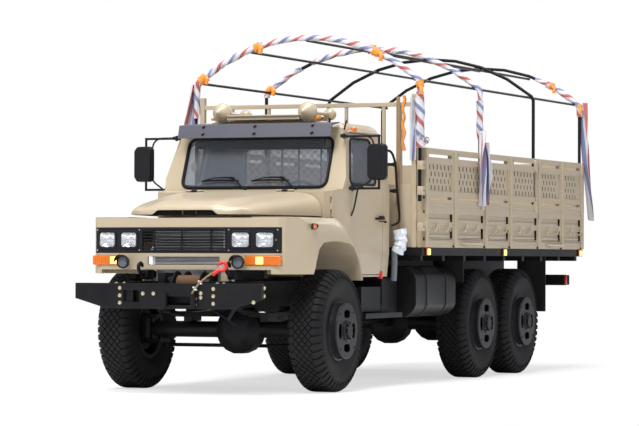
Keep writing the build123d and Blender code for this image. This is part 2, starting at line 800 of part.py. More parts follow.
with BuildPart() as cab_shell:
    add(outer_cab)
    add(inner_cab, mode=Mode.SUBTRACT)
    for sign in (1, -1):
        with BuildSketch(side_plane(sign * 700)):
            add(door_outline(running_gap))
        extrude(amount=sign * 400, mode=Mode.SUBTRACT)
    with BuildSketch(screen_plane.offset(-100)):
        with Locations((0, screen_slope / 2 + 4)):
            add(eased_window(screen_width, screen_height))
    extrude(amount=200, mode=Mode.SUBTRACT)
    with BuildSketch(Plane.XZ.offset(-cab_rear_y + 200)):
        with Locations((0, rear_window_z)):
            add(eased_window(rear_window_width, rear_window_height))
    extrude(amount=-300, mode=Mode.SUBTRACT)
    with Locations((0, front_axle_y + 1050, cab_roof_z + 14)):
        Box(760, 640, 30)
    for sign in (1, -1):
        for y in (front_axle_y + 900, front_axle_y + 1500):
            with Locations((sign * spring_x, y, (rail_top + cab_floor_z + 20) / 2)):
                Box(70, 110, cab_floor_z + 20 - rail_top)
        for z in door_hinge_zs:
            low = (sign * door_hinge_x, door_hinge_y, z + 3 + seat_gap)
            add(pin(low, (sign * door_hinge_x, door_hinge_y, low[2] + knuckle_length), hinge_radius))
            with Locations((sign * (door_hinge_x - 14), door_hinge_y - 11, low[2] + knuckle_length / 2)):
                Box(34, 14, knuckle_length)
        for end in (-1, 1):
            start_x = sign * bonnet_hinge_x + end * (knuckle_length / 2 + seat_gap)
            end_x = start_x + end * knuckle_length
            start = (start_x, bonnet_hinge_y, bonnet_hinge_z)
            add(pin(start, (end_x, bonnet_hinge_y, bonnet_hinge_z), hinge_radius))
            with Locations(((start_x + end_x) / 2, bonnet_hinge_y + 9, bonnet_hinge_z - 11)):
                Box(knuckle_length, 14, 26)
cab_shell.part.label = "cab_shell"
export_step(cab_shell.part, "parts/cab_shell.step")

with BuildPart() as cab_glass:
    with BuildSketch(screen_plane.offset(-20)):
        with Locations((0, screen_slope / 2 + 4)):
            add(eased_window(screen_width - 2 * seat_gap, screen_height - 2 * seat_gap))
    extrude(amount=glass_wall)
    with BuildSketch(Plane.XZ.offset(-cab_rear_y + 24)):
        with Locations((0, rear_window_z)):
            add(eased_window(rear_window_width - 2 * seat_gap, rear_window_height - 2 * seat_gap))
    extrude(amount=glass_wall)
cab_glass.part.label = "cab_glass"
export_step(cab_glass.part, "parts/cab_glass.step")

mirror_x = 1225
mirror_y = front_axle_y + 650
mirror_tube_radius = 11
for side, sign in (("left", 1), ("right", -1)):
    with BuildPart() as door:
        add(outer_cab)
        add(inner_cab, mode=Mode.SUBTRACT)
        add(inner_cab.moved(Location((0, 0, -cab_wall))), mode=Mode.SUBTRACT)
        with BuildSketch(side_plane(sign * 700)):
            add(door_outline(0))
        extrude(amount=sign * 400, mode=Mode.INTERSECT)
        with BuildSketch(side_plane(sign * 700)):
            add(door_window(0))
        extrude(amount=sign * 400, mode=Mode.SUBTRACT)
        for z in door_hinge_zs:
            top = (sign * door_hinge_x, door_hinge_y, z + 3)
            add(pin((sign * door_hinge_x, door_hinge_y, z + 3 - knuckle_length), top, hinge_radius))
            with Locations((sign * (door_hinge_x - 13), door_hinge_y + 11, z + 3 - knuckle_length / 2)):
                Box(34, 14, knuckle_length)
        with Locations((sign * (cab_half + 14), door_rear_y - 40, 1618)):
            Box(24, 190, 26)
        for along in (-120, 40):
            with Locations((sign * (cab_half + 2), door_rear_y - 40 + along * 0.75, 1618)):
                Box(24, 24, 20)
    door.part.label = f"door_{side}"
    export_step(door.part, f"parts/door_{side}.step")

    with BuildPart() as door_glass:
        add(outer_cab)
        add(inner_cab, mode=Mode.SUBTRACT)
        with BuildSketch(side_plane(sign * 700)):
            add(door_window(seat_gap))
        extrude(amount=sign * 400, mode=Mode.INTERSECT)
    door_glass.part.label = f"door_glass_{side}"
    export_step(door_glass.part, f"parts/door_glass_{side}.step")

    with BuildPart() as mirror_set:
        with BuildSketch(Plane.XZ.offset(-mirror_y)):
            with Locations((sign * mirror_x, 2150)):
                add(eased_window(170, 320, 30))
        extrude(amount=60)
        tube_y = mirror_y + mirror_tube_radius + 20
        add(rod((sign * mirror_x, tube_y, 1890), (sign * mirror_x, tube_y, 2409), mirror_tube_radius))
        for z in (2398, 1901):
            start = (sign * (cab_side_x(z - mirror_tube_radius) + seat_gap), tube_y, z)
            add(rod(start, (sign * mirror_x, tube_y, z), mirror_tube_radius))
        for z in (2070, 2230):
            with Locations((sign * mirror_x, mirror_y + 15, z)):
                Box(40, 40, 20)
    mirror_set.part.label = f"mirror_{side}"
    export_step(mirror_set.part, f"parts/mirror_{side}.step")


def bonnet_solid(inset):
    """A wedge that grows wider and higher to the rear, with wide shoulders and a raised middle."""
    length = bonnet_rear_y - bonnet_front_y
    low_z = fender_top + bonnet_low_gap
    with BuildPart() as solid:
        with BuildSketch(side_plane(-bonnet_rear_half)):
            with BuildLine():
                Polyline(
                    (bonnet_front_y + inset, low_z), (bonnet_front_y + inset, bonnet_edge_z),
                    (bonnet_front_y + inset + 20, bonnet_front_z - inset),
                    (bonnet_front_y + 0.32 * length, bonnet_front_z + 96 - inset),
                    (bonnet_rear_y, bonnet_rear_z - inset), (bonnet_rear_y, low_z), close=True,
                )
            make_face()
        extrude(amount=2 * bonnet_rear_half)
        with BuildSketch(Plane.XY.offset(bonnet_edge_z - 30)):
            with BuildLine():
                Polyline(*both_sides([
                    (bonnet_rear_half - inset, bonnet_rear_y + 1),
                    (bonnet_front_half + 100 - inset, bonnet_front_y + 0.3 * length),
                    (bonnet_front_half - inset, bonnet_front_y - 1),
                ]), close=True)
            make_face()
        extrude(amount=bonnet_rear_z - bonnet_edge_z + 40, mode=Mode.INTERSECT)
        # Shoulders: a sloping cut along each side, from the front corner to the cowl
        for sign in (1, -1):
            with BuildSketch(Plane.XZ.offset(-bonnet_rear_y)):
                with BuildLine():
                    Polyline(
                        (sign * (bonnet_rear_half - inset), bonnet_edge_z + 60),
                        (sign * (bonnet_rear_half - 45 - inset), bonnet_rear_z - 62 - inset),
                        (sign * (bonnet_rear_half - 150 - inset), bonnet_rear_z - 14 - inset),
                        (sign * (bonnet_rear_half - 260 - inset), bonnet_rear_z + 10),
                        (sign * (bonnet_rear_half + 300), bonnet_rear_z + 10),
                        (sign * (bonnet_rear_half + 300), bonnet_edge_z + 60), close=True,
                    )
                make_face()
            with BuildSketch(Plane.XZ.offset(-bonnet_front_y)):
                with BuildLine():
                    Polyline(
                        (sign * (bonnet_front_half - inset), bonnet_edge_z),
                        (sign * (bonnet_front_half - 12 - inset), bonnet_front_z - 22 - inset),
                        (sign * (bonnet_front_half - 60 - inset), bonnet_front_z - 6 - inset),
                        (sign * (bonnet_front_half - 130 - inset), bonnet_front_z + 10),
                        (sign * (bonnet_front_half + 300), bonnet_front_z + 10),
                        (sign * (bonnet_front_half + 300), bonnet_edge_z), close=True,
                    )
                make_face()
            loft(ruled=True, mode=Mode.SUBTRACT)
    return solid.part


with BuildPart() as bonnet:
    add(bonnet_solid(0))
    add(bonnet_solid(bonnet_wall), mode=Mode.SUBTRACT)
    with BuildSketch(Plane.XZ.offset(-bonnet_front_y + 50)):
        with BuildLine():
            Polyline(
                (-345, bonnet_edge_z - 30), (-275, bonnet_front_z - 8), (265, bonnet_front_z - 8),
                (335, bonnet_edge_z - 30), close=True,
            )
        make_face()
    extrude(amount=-75, mode=Mode.SUBTRACT)
    for sign in (1, -1):
        start = (sign * bonnet_hinge_x - knuckle_length / 2, bonnet_hinge_y, bonnet_hinge_z)
        add(pin(start, (start[0] + knuckle_length, bonnet_hinge_y, bonnet_hinge_z), hinge_radius))
        with Locations((sign * bonnet_hinge_x, bonnet_hinge_y - 12, bonnet_hinge_z - 11)):
            Box(knuckle_length, 20, 26)
bonnet.part.label = "bonnet"
export_step(bonnet.part, "parts/bonnet.step")

# Inside the cab
column_lean = 50
steering_centre = (380, front_axle_y + 872, 1806)


def column_point(along):
    """A point on the steering column, measured down from the steering wheel's centre."""
    x, y, z = steering_centre
    return (x, y - along * sin(radians(column_lean)), z - along * cos(radians(column_lean)))


dash_front_y = cowl_y + cab_wall + seat_gap
dash_rear_y = front_axle_y + 740
dash_low = fender_top + door_gap + cab_wall + seat_gap
with BuildPart() as dashboard:
    with BuildSketch(side_plane(-730)):
        with BuildLine():
            Polyline(
                (dash_front_y, dash_low), (dash_front_y, 1810), (dash_rear_y - 170, 1810),
                (dash_rear_y, 1770), (dash_rear_y, 1710), (dash_rear_y - 110, dash_low), close=True,
            )
        make_face()
    extrude(amount=1460)
    add(rod(column_point(330), column_point(14), 26))
dashboard.part.label = "dashboard"
export_step(dashboard.part, "parts/dashboard.step")

seat_low = cab_floor_z + cab_wall + seat_gap
seat_high = 1532
with BuildPart() as seats:
    for x, width in ((400, 500), (-330, 900)):
        with BuildSketch(side_plane(x - width / 2)):
            with BuildLine():
                Polyline(
                    (front_axle_y + 960, seat_low), (front_axle_y + 960, seat_high),
                    (front_axle_y + 1350, seat_high), (front_axle_y + 1400, 1980),
                    (front_axle_y + 1485, 1980), (front_axle_y + 1485, 1450),
                    (front_axle_y + 1400, seat_low), close=True,
                )
            make_face()
        extrude(amount=width)
seats.part.label = "seats"
export_step(seats.part, "parts/seats.step")

wheel_rim_radius = 215
wheel_rim_half = 14
# The steering wheel's grip: distance along the column, distance from the grip's middle line
grip_section = [(-wheel_rim_half, 6), (0, 15), (wheel_rim_half, 6)]
with BuildPart() as steering_wheel:
    add(flat_sided([(along, wheel_rim_radius + out) for along, out in grip_section], 20, Plane.XY))
    inside = flat_sided([(along, wheel_rim_radius - out) for along, out in grip_section], 20, Plane.XY)
    add(inside, mode=Mode.SUBTRACT)
    Box(2 * wheel_rim_radius - 8, 26, 12)
    with Locations((0, -wheel_rim_radius / 2, 0)):
        Box(26, wheel_rim_radius - 8, 12)
    Cylinder(40, 26)
placed_wheel = steering_wheel.part.moved(Location(steering_centre, (-column_lean, 0, 0)))
placed_wheel.label = "steering_wheel"
export_step(placed_wheel, "parts/steering_wheel.step")

# Sun visor on three brackets over the windscreen
visor_half = 800
with BuildPart() as visor:
    with BuildSketch(side_plane(-visor_half)):
        with BuildLine():
            Polyline(
                (front_axle_y + 505, 2392), (front_axle_y + 540, 2516), (front_axle_y + 735, 2538),
                (front_axle_y + 735, 2526), (front_axle_y + 552, 2500), (front_axle_y + 520, 2390), close=True,
            )
        make_face()
    extrude(amount=2 * visor_half)
    for x in (-600, 0, 600):
        with Locations((x, screen_high[0] + 18, 2510)):
            Box(40, 12, 35.4)
visor.part.label = "visor"
export_step(visor.part, "parts/visor.step")

# Horns: a round bell with a pointed front, a straight pipe and a small drum behind
horn_x = 450
horn_z = 2642
# Horn section: distance behind the bell's point, radius
horn_section = [
    (0, 6), (55, 66), (90, 78), (120, 68), (150, 24), (600, 22), (625, 54), (660, 56), (700, 24),
]
with BuildPart() as horns:
    for sign in (1, -1):
        add(flat_sided(
            horn_section, 10,
            Plane(origin=(sign * horn_x, front_axle_y + 670, horn_z), x_dir=(1, 0, 0), z_dir=(0, 1, 0)),
        ))
        foot_z = roof_height(horn_x) + seat_gap
        for y in (880, 1240):
            with Locations((sign * horn_x, front_axle_y + y, (foot_z + horn_z) / 2)):
                Box(40, 30, horn_z - foot_z)
horns.part.label = "horns"
export_step(horns.part, "parts/horns.step")

# Cargo bed: a flat floor between the boards, a rim round it, and bearers on two long sills
gate_y = bed_rear_y + gate_gap + gate_wall / 2
gate_hinge_z = board_low - 12
gate_hinge_xs = (-900, -300, 300, 900)
floor_half = bed_half - board_wall
floor_front_y = head_y + head_wall / 2
floor_rear_y = bed_rear_y - board_wall
floor_low = floor_top - floor_wall
with BuildPart() as bed_floor:
    with Locations((0, (floor_front_y + floor_rear_y) / 2, floor_top - floor_wall / 2)):
        Box(2 * floor_half, floor_rear_y - floor_front_y, floor_wall)
bed_floor.part.label = "bed_floor"
export_step(bed_floor.part, "parts/bed_floor.step")

with BuildPart() as bed_rim:
    with BuildSketch(Plane.XY.offset(rim_low)):
        with Locations((0, (floor_front_y - head_wall + bed_rear_y) / 2)):
            Rectangle(2 * bed_half, bed_rear_y - floor_front_y + head_wall)
        with Locations((0, (floor_front_y + floor_rear_y) / 2)):
            Rectangle(2 * floor_half, floor_rear_y - floor_front_y, mode=Mode.SUBTRACT)
    extrude(amount=floor_top - rim_low)
    for x in gate_hinge_xs:
        for end in (-1, 1):
            start = (x + end * (knuckle_length / 2 + seat_gap), gate_y, gate_hinge_z)
            add(pin(start, (start[0] + end * knuckle_length / 2, gate_y, gate_hinge_z), hinge_radius))
            with Locations((x + end * (45 + seat_gap), (gate_y + bed_rear_y) / 2, gate_hinge_z - 3)):
                Box(30, gate_y - bed_rear_y, 10)
bed_rim.part.label = "bed_rim"
export_step(bed_rim.part, "parts/bed_rim.step")

bearer_count = 9
bearer_inset = 60
bearer_pitch = (floor_rear_y - floor_front_y - 2 * bearer_inset) / (bearer_count - 1)
sill_top = floor_low - bearer_height
with BuildPart() as bed_bearers:
    for row in range(bearer_count):
        with Locations((0, floor_front_y + bearer_inset + row * bearer_pitch, floor_low - bearer_height / 2)):
            Box(2 * floor_half, 70, bearer_height)
    for sign in (1, -1):
        with Locations((sign * spring_x, (head_y + rail_rear_y) / 2, (rail_top + sill_top) / 2)):
            Box(rail_flange, rail_rear_y - head_y, sill_top - rail_top)
bed_bearers.part.label = "bed_bearers"
export_step(bed_bearers.part, "parts/bed_bearers.step")

# Headboard: posts with a top rail, and a panel as high as the cab's belt
head_half = bed_half - 65
head_panel_high = 1968
with BuildPart() as headboard:
    for sign in (1, -1):
        with Locations((sign * (head_half - 24), head_y, (floor_top + head_high) / 2)):
            Box(48, head_wall, head_high - floor_top)
        for x in (head_half - 174, 820, 420):
            with Locations((sign * x, head_y, (floor_top + head_high - 95) / 2)):
                Box(30, 30, head_high - 95 - floor_top)
    with Locations((0, head_y, head_high - 100)):
        Box(2 * head_half, 40, 40)
    with Locations((0, head_y, (floor_top + head_panel_high) / 2)):
        Box(2 * head_half, 24, head_panel_high - floor_top)
headboard.part.label = "headboard"
export_step(headboard.part, "parts/headboard.step")

# Side boards with bays of pressed panels and slots
# Bay edges, from the front axle
bay_edges = [1883, 2733, 3651, 4435, 5370, 6179, 6914]
# Pressed panels: middle height, height, depth
pressings = [(2045, 270, 14), (1645, 78, 20), (1490, 120, 20)]
# Through slots: middle height, height
slots = [(2259, 33), (1842, 26)]
with BuildPart() as side_boards:
    for sign in (1, -1):
        with Locations((
            sign * (bed_half - board_wall / 2), (bed_front_y + bed_rear_y) / 2, (board_low + board_high) / 2
        )):
            Box(board_wall, bed_rear_y - bed_front_y, board_high - board_low)
        for low, high in zip(bay_edges[:-1], bay_edges[1:]):
            bay_y = front_axle_y + (low + high) / 2
            for z, height in slots:
                with Locations((sign * bed_half, bay_y, z)):
                    Box(3 * board_wall, high - low - 200, height, mode=Mode.SUBTRACT)
            for z, height, depth in pressings:
                with Locations((sign * bed_half, bay_y, z)):
                    Box(2 * depth, high - low - 160, height, mode=Mode.SUBTRACT)
        for y in hoop_ys[1:]:
            with Locations((sign * bed_half, y, (hoop_foot_z + board_high) / 2 + 50)):
                Box(
                    2 * (hoop_inset + hoop_radius + seat_gap), 2 * (hoop_radius + seat_gap),
                    board_high - hoop_foot_z + 100, mode=Mode.SUBTRACT,
                )
side_boards.part.label = "side_boards"
export_step(side_boards.part, "parts/side_boards.step")

# Tailgate with ribs, hinge knuckles and two latches
latch_x = bed_half - 55
gate_back_y = gate_y + gate_wall / 2
with BuildPart() as tailgate:
    with Locations((0, gate_y, (board_low + board_high) / 2 + 2)):
        Box(2 * bed_half, gate_wall, board_high - board_low - 4)
    # The ribs start high enough to pass under the rim when the gate hangs down
    rib_low = 2 * gate_hinge_z - rim_low + running_gap
    rib_high = board_high - 20
    for x in (-820, -410, 0, 410, 820):
        with Locations((x, gate_back_y + 10, (rib_low + rib_high) / 2)):
            Box(50, 20, rib_high - rib_low)
    for x in gate_hinge_xs:
        start = (x - knuckle_length / 2, gate_y, gate_hinge_z)
        add(pin(start, (start[0] + knuckle_length, gate_y, gate_hinge_z), hinge_radius))
        with Locations((x, gate_y, gate_hinge_z + 8)):
            Box(knuckle_length, 12, 16)
    for sign in (1, -1):
        with Locations((sign * latch_x, (gate_y + front_axle_y + rear_reach) / 2, 1900)):
            Box(40, front_axle_y + rear_reach - gate_y, 210)
tailgate.part.label = "tailgate"
export_step(tailgate.part, "parts/tailgate.step")

# Canopy hoops and the rails that join them
hoop_rise = hoop_crest_z - hoop_radius - hoop_elbow_z
bow_radius = (hoop_half**2 + hoop_rise**2) / (2 * hoop_rise)
# Half a hoop from its foot to the crest: x, z
bow_shares = (0.75, 0.5, 0.25, 0)
hoop_line = [(hoop_half, hoop_foot_z), (hoop_half, hoop_elbow_z - 30), (hoop_half - 20, hoop_elbow_z + 16)]
for share in bow_shares:
    bow_z = hoop_crest_z - hoop_radius - bow_radius + sqrt(bow_radius**2 - (share * hoop_half) ** 2)
    hoop_line.append((share * hoop_half, bow_z))


def rail_seat(x):
    """The height at which a rail's axis just clears the underside of the hoops, x from the middle."""
    for (far, far_z), (near, near_z) in zip(hoop_line[2:], hoop_line[3:]):
        if near <= abs(x) < far:
            lean = atan((near_z - far_z) / (far - near))
            rail_reach = canopy_rail_radius * cos(radians(22.5) - lean) / cos(radians(22.5))
            seat_z = near_z - (abs(x) - near) * (near_z - far_z) / (far - near)
            return seat_z - (hoop_radius + rail_reach + seat_gap) / cos(lean)


with BuildPart() as canopy_frame:
    for y in hoop_ys:
        add(bent_tube([(x, y, z) for x, z in both_sides(hoop_line)], hoop_radius, (0, 1, 0)))
canopy_frame.part.label = "canopy_frame"
export_step(canopy_frame.part, "parts/canopy_frame.step")

with BuildPart() as canopy_rails:
    for x in (-hoop_half + 60, -hoop_half / 2, 0, hoop_half / 2, hoop_half - 60):
        add(rod((x, hoop_ys[0], rail_seat(x)), (x, hoop_ys[-1], rail_seat(x)), canopy_rail_radius))
canopy_rails.part.label = "canopy_rails"
export_step(canopy_rails.part, "parts/canopy_rails.step")

# Striped cloth strips that hang from the hoops
strip_wall = 30
strip_high = 2960
strip_x = hoop_half + 48
# Strip: side, y, low z, width
strips = [
    (-1, hoop_ys[0], 2420, 130), (1, hoop_ys[0], 2250, 100), (1, hoop_ys[1], 1760, 110),
    (1, hoop_ys[3] + 60, 1880, 110),
]
with BuildPart() as cloth_strips:
    for sign, y, low, width in strips:
        inner = hoop_half + hoop_radius + seat_gap
        with Locations((sign * strip_x, y, (low + strip_high) / 2)):
            Box(strip_wall, width, strip_high - low)
        with Locations((sign * (inner + strip_x) / 2, y, strip_high - 40)):
            Box(strip_x - inner, width, 60)
cloth_strips.part.label = "cloth_strips"
export_step(cloth_strips.part, "parts/cloth_strips.step")

# Fuel tank on the left, with its two straps and the cradles that carry it from the rail
tank_outer = 1100
tank_inner = 520
tank_front_y = front_axle_y + 1985
tank_length = 1130
tank_low = 662
tank_high = 1157
strap_width = 50
strap_wall = 8
tank_width = tank_outer - tank_inner
tank_height = tank_high - tank_low
with BuildPart() as fuel_tank:
    with BuildSketch(Plane.XZ.offset(-tank_front_y)):
        with Locations(((tank_inner + tank_outer) / 2, (tank_low + tank_high) / 2)):
            add(eased_window(tank_width, tank_height, 95))
    extrude(amount=-tank_length)
    for along in (285, 830):
        with BuildSketch(Plane.XZ.offset(-tank_front_y - along)):
            with Locations(((tank_inner + tank_outer) / 2, (tank_low + tank_high) / 2)):
                add(eased_window(tank_width + 2 * strap_wall, tank_height + 2 * strap_wall, 98))
        extrude(amount=-strap_width)
        cradle_x = (rail_outer + tank_inner + 60) / 2
        with Locations((cradle_x, tank_front_y + along + strap_width / 2, rail_bottom + 60)):
            Box(tank_inner + 60 - rail_outer, strap_width, 100)
fuel_tank.part.label = "fuel_tank"
export_step(fuel_tank.part, "parts/fuel_tank.step")

# Steps on both sides, battery box and air cleaner on the left, air reservoirs on the right
step_low = 665
step_high = 715
reservoir_radius = 140
with BuildPart() as side_boxes:
    for sign in (1, -1):
        with Locations((sign * 930, front_axle_y + 1255, (step_low + step_high) / 2)):
            Box(250, 950, step_high - step_low)
        for y in (1000, 1500):
            with Locations((sign * (rail_outer + 250), front_axle_y + y, step_low + 62)):
                Box(500, 50, 124)
    with Locations((740, front_axle_y + 1170, 845)):
        Box(420, 500, 240)
    with Locations((715, front_axle_y + 1700, 875)):
        Box(430, 400, 350)
    for y in (2250, 2860):
        add(flat_sided(
            [(-300, 70), (-250, reservoir_radius), (250, reservoir_radius), (300, 70)], 12,
            Plane(origin=(-700, front_axle_y + y, 900), x_dir=(1, 0, 0), z_dir=(0, 1, 0)),
        ))
        with Locations((-(rail_outer + 100), front_axle_y + y, 900)):
            Box(200, 60, 80)
side_boxes.part.label = "side_boxes"
export_step(side_boxes.part, "parts/side_boxes.step")

# Gearbox, transfer case and propeller shafts
transfer_y = front_axle_y + 1560
with BuildPart() as driveline:
    with Locations((0, front_axle_y + 460, 860)):
        Box(340, 600, 260)
    with Locations((60, transfer_y, 760)):
        Box(380, 300, 330)
    add(rod((0, front_axle_y + 750, 775), (0, transfer_y - 140, 775), 40))
    front_flange = (diff_offset, front_axle_y + pinion_reach + 4.2, pinion_z)
    add(rod(front_flange, (diff_offset, transfer_y - 140, 720), 38))
    middle_flange = (diff_offset, middle_axle_y - pinion_reach - 3, pinion_z)
    add(rod((diff_offset, transfer_y + 140, 720), middle_flange, 45))
    rear_flange = (diff_offset, rear_axle_y - pinion_reach, pinion_z)
    add(rod((diff_offset, middle_axle_y + 130.4, pinion_z), rear_flange, 38))
driveline.part.label = "driveline"
export_step(driveline.part, "parts/driveline.step")

# Mudguards of the rear wheels: flaps that hang from the bed's floor
with BuildPart() as mudguards:
    for sign in (1, -1):
        for y, low in ((front_axle_y + 3208.8, 1000), (front_axle_y + 5850, 660)):
            with Locations((sign * 985, y, (low + floor_low) / 2)):
                Box(330, 16, floor_low - low)
mudguards.part.label = "mudguards"
export_step(mudguards.part, "parts/mudguards.step")

# Rear bar with the two ears of the towing jaw
hitch_z = 870
hitch_reach = 150
hitch_bore_radius = 20
hitch_y = rail_rear_y + hitch_reach
bar_half = 1150
bar_z = 1005
bar_depth = 80
with BuildPart() as rear_bar:
    with Locations((0, rail_rear_y + bar_depth / 2, bar_z)):
        Box(2 * bar_half, bar_depth, 120)
    with Locations((0, rail_rear_y + 15, hitch_z)):
        Box(200, 30, 190)
    for up in (1, -1):
        with BuildSketch(Plane.XY.offset(hitch_z + up * 55 - 15)):
            with Locations((0, rail_rear_y + hitch_reach / 2)):
                Rectangle(110, hitch_reach)
            with Locations((0, hitch_y)):
                Circle(55)
        extrude(amount=30)
    with Locations((0, hitch_y, hitch_z)):
        Cylinder(hitch_bore_radius, 400, mode=Mode.SUBTRACT)
rear_bar.part.label = "rear_bar"
export_step(rear_bar.part, "parts/rear_bar.step")

with BuildPart() as rear_lamps:
    for sign in (1, -1):
        with Locations((sign * (bar_half - 70), rail_rear_y + bar_depth + 16, bar_z)):
            Box(130, 32, 100)
rear_lamps.part.label = "rear_lamps"
export_step(rear_lamps.part, "parts/rear_lamps.step")
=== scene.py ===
# %% [markdown]
# # A military cargo truck, dressed over its working model
# The working model already has every panel, wheel, axle and hinge at its real size. This lesson gives it
# its looks: paint, rubber, glass, striped cloth and the small parts that are too fine for the working
# model.

# %% Load the working model
import json
import math
import random

import bpy
from mathutils import Matrix, Quaternion, Vector


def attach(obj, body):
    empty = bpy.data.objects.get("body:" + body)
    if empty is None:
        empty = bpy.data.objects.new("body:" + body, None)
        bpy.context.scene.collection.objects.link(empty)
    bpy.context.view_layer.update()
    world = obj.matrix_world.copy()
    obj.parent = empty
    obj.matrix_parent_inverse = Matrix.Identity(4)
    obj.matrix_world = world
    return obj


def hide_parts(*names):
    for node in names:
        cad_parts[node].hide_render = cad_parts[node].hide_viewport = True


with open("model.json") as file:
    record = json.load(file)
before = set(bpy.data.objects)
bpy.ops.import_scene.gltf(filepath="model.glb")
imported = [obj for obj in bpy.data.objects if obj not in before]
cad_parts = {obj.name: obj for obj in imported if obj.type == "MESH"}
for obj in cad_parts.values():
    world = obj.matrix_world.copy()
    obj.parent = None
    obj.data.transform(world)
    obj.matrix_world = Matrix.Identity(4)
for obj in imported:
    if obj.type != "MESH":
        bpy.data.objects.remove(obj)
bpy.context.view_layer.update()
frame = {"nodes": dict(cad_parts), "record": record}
nodes = frame["nodes"]
bpy.ops.object.select_all(action="DESELECT")

# %% [markdown]
# ## The camera
# The photograph was taken from far away with a long lens, a little to the left of the truck's nose and at
# headlamp height. The camera stands at the place that the wheels, the bed and the cab agree on.

# %% Camera
CAMERA_PLACE = Vector((11.487, -27.857, 1.223))
CAMERA_AZIMUTH = math.radians(22.912)
CAMERA_ELEVATION = math.radians(-0.916)
CAMERA_ROLL = math.radians(0.178)
CAMERA_LENS = 165.2

camera_data = bpy.data.cameras.new("camera")
camera_data.lens = CAMERA_LENS
camera_data.clip_end = 200
camera = bpy.data.objects.new("camera", camera_data)
bpy.context.scene.collection.objects.link(camera)
bpy.context.scene.camera = camera
back = Vector((
    math.sin(CAMERA_AZIMUTH) * math.cos(CAMERA_ELEVATION),
    -math.cos(CAMERA_AZIMUTH) * math.cos(CAMERA_ELEVATION),
    math.sin(CAMERA_ELEVATION),
))
camera.location = CAMERA_PLACE
camera.rotation_mode = "QUATERNION"
camera.rotation_quaternion = (-back).to_track_quat("-Z", "Y") @ Quaternion((0, 0, 1), CAMERA_ROLL)
bpy.context.scene.view_settings.view_transform = "Standard"
print("camera distance:", round(CAMERA_PLACE.length, 2))

# %% [markdown]
# ## Wiring shader nodes
# A finish, a sky or a floor is a tree of nodes. Each node could be added and linked in four or five lines by
# hand. Two helpers do it in one, so that a recipe reads from its first noise to the last mix.

# %% Tools for shader nodes
def plugged(tree, node, inputs):
    """Gives a node's inputs values, or links them from other nodes' outputs."""
    for key, value in inputs.items():
        if isinstance(value, bpy.types.NodeSocket):
            tree.links.new(value, node.inputs[key])
        else:
            node.inputs[key].default_value = value


def wired(tree, kind, inputs=(), **settings):
    """Adds a shader node, sets it, plugs its inputs, and returns its outputs."""
    node = tree.nodes.new(f"ShaderNode{kind}")
    for key, value in settings.items():
        setattr(node, key, value)
    plugged(tree, node, dict(inputs))
    return node.outputs


def seen_directly(tree):
    """A factor that is 1 for the rays that show the background: from the camera and through glass."""
    rays = wired(tree, "LightPath")
    either = {0: rays["Is Camera Ray"], 1: rays["Is Transmission Ray"]}
    return wired(tree, "Math", either, operation="MAXIMUM")[0]


# %% [markdown]
# ## Sky and lamps
# The picture has the soft light of an open yard. One hard sun would glare on the flat panels, so large square
# lamps stand high in front and overhead, with weaker ones round them. The sky is plain white to the camera
# and a little blue and dim to everything else, which keeps the black parts black.

# %% Sky and lamps
WHITE = (1, 1, 1, 1)
SKY_COLOUR = (0.88, 0.93, 1.0, 1)
SKY_STRENGTH = 0.42
LAMPS = [  # name, place, aim, size, power
    ("key_lamp", (1, -15, 16), (0, -1, 1.5), 8, 3600),
    ("top_lamp", (0, -2, 15), (0, 0, 1.5), 9, 1900),
    ("left_lamp", (17, 2, 8), (0, 0, 1.5), 8, 420),
    ("right_lamp", (-14, -6, 9), (0, 0, 1.5), 9, 420),
    ("rear_lamp", (2, 16, 10), (0, 1, 1.5), 8, 600),
]
world = bpy.data.worlds.new("sky")
bpy.context.scene.world = world
world.use_nodes = True
sky_tree = world.node_tree
sky = sky_tree.nodes["Background"]
plugged(sky_tree, sky, {"Color": SKY_COLOUR, "Strength": SKY_STRENGTH})
plain_white = wired(sky_tree, "Background", {"Color": WHITE})[0]
shown_sky = wired(sky_tree, "MixShader", {0: seen_directly(sky_tree), 1: sky.outputs[0], 2: plain_white})[0]
plugged(sky_tree, sky_tree.nodes["World Output"], {"Surface": shown_sky})

for name, place, aim, size, power in LAMPS:
    lamp_data = bpy.data.lights.new(name, "AREA")
    lamp_data.size = size
    lamp_data.energy = power
    lamp = bpy.data.objects.new(name, lamp_data)
    lamp.location = place
    lamp.rotation_mode = "QUATERNION"
    lamp.rotation_quaternion = (Vector(aim) - Vector(place)).to_track_quat("-Z", "Y")
    bpy.context.scene.collection.objects.link(lamp)

print("lamps:", len(LAMPS))

# %% [markdown]
# ## Floor
# The floor is one large plane. It could be pure white and lose the truck's shadow, or lit and show a horizon.
# So it does both: far from the truck it gives off plain white, and near the wheels it is lit and keeps a
# soft shadow.

# %% Floor
FLOOR_HALF = 60.0
FLOOR_COLOUR = (0.93, 0.93, 0.93, 1)
SHADOW_NEAR = 4.5
SHADOW_FAR = 9.0
SHADOW_SHAPE = (1.6, 0.8, 1)
FLOOR_GLOW = 0.62

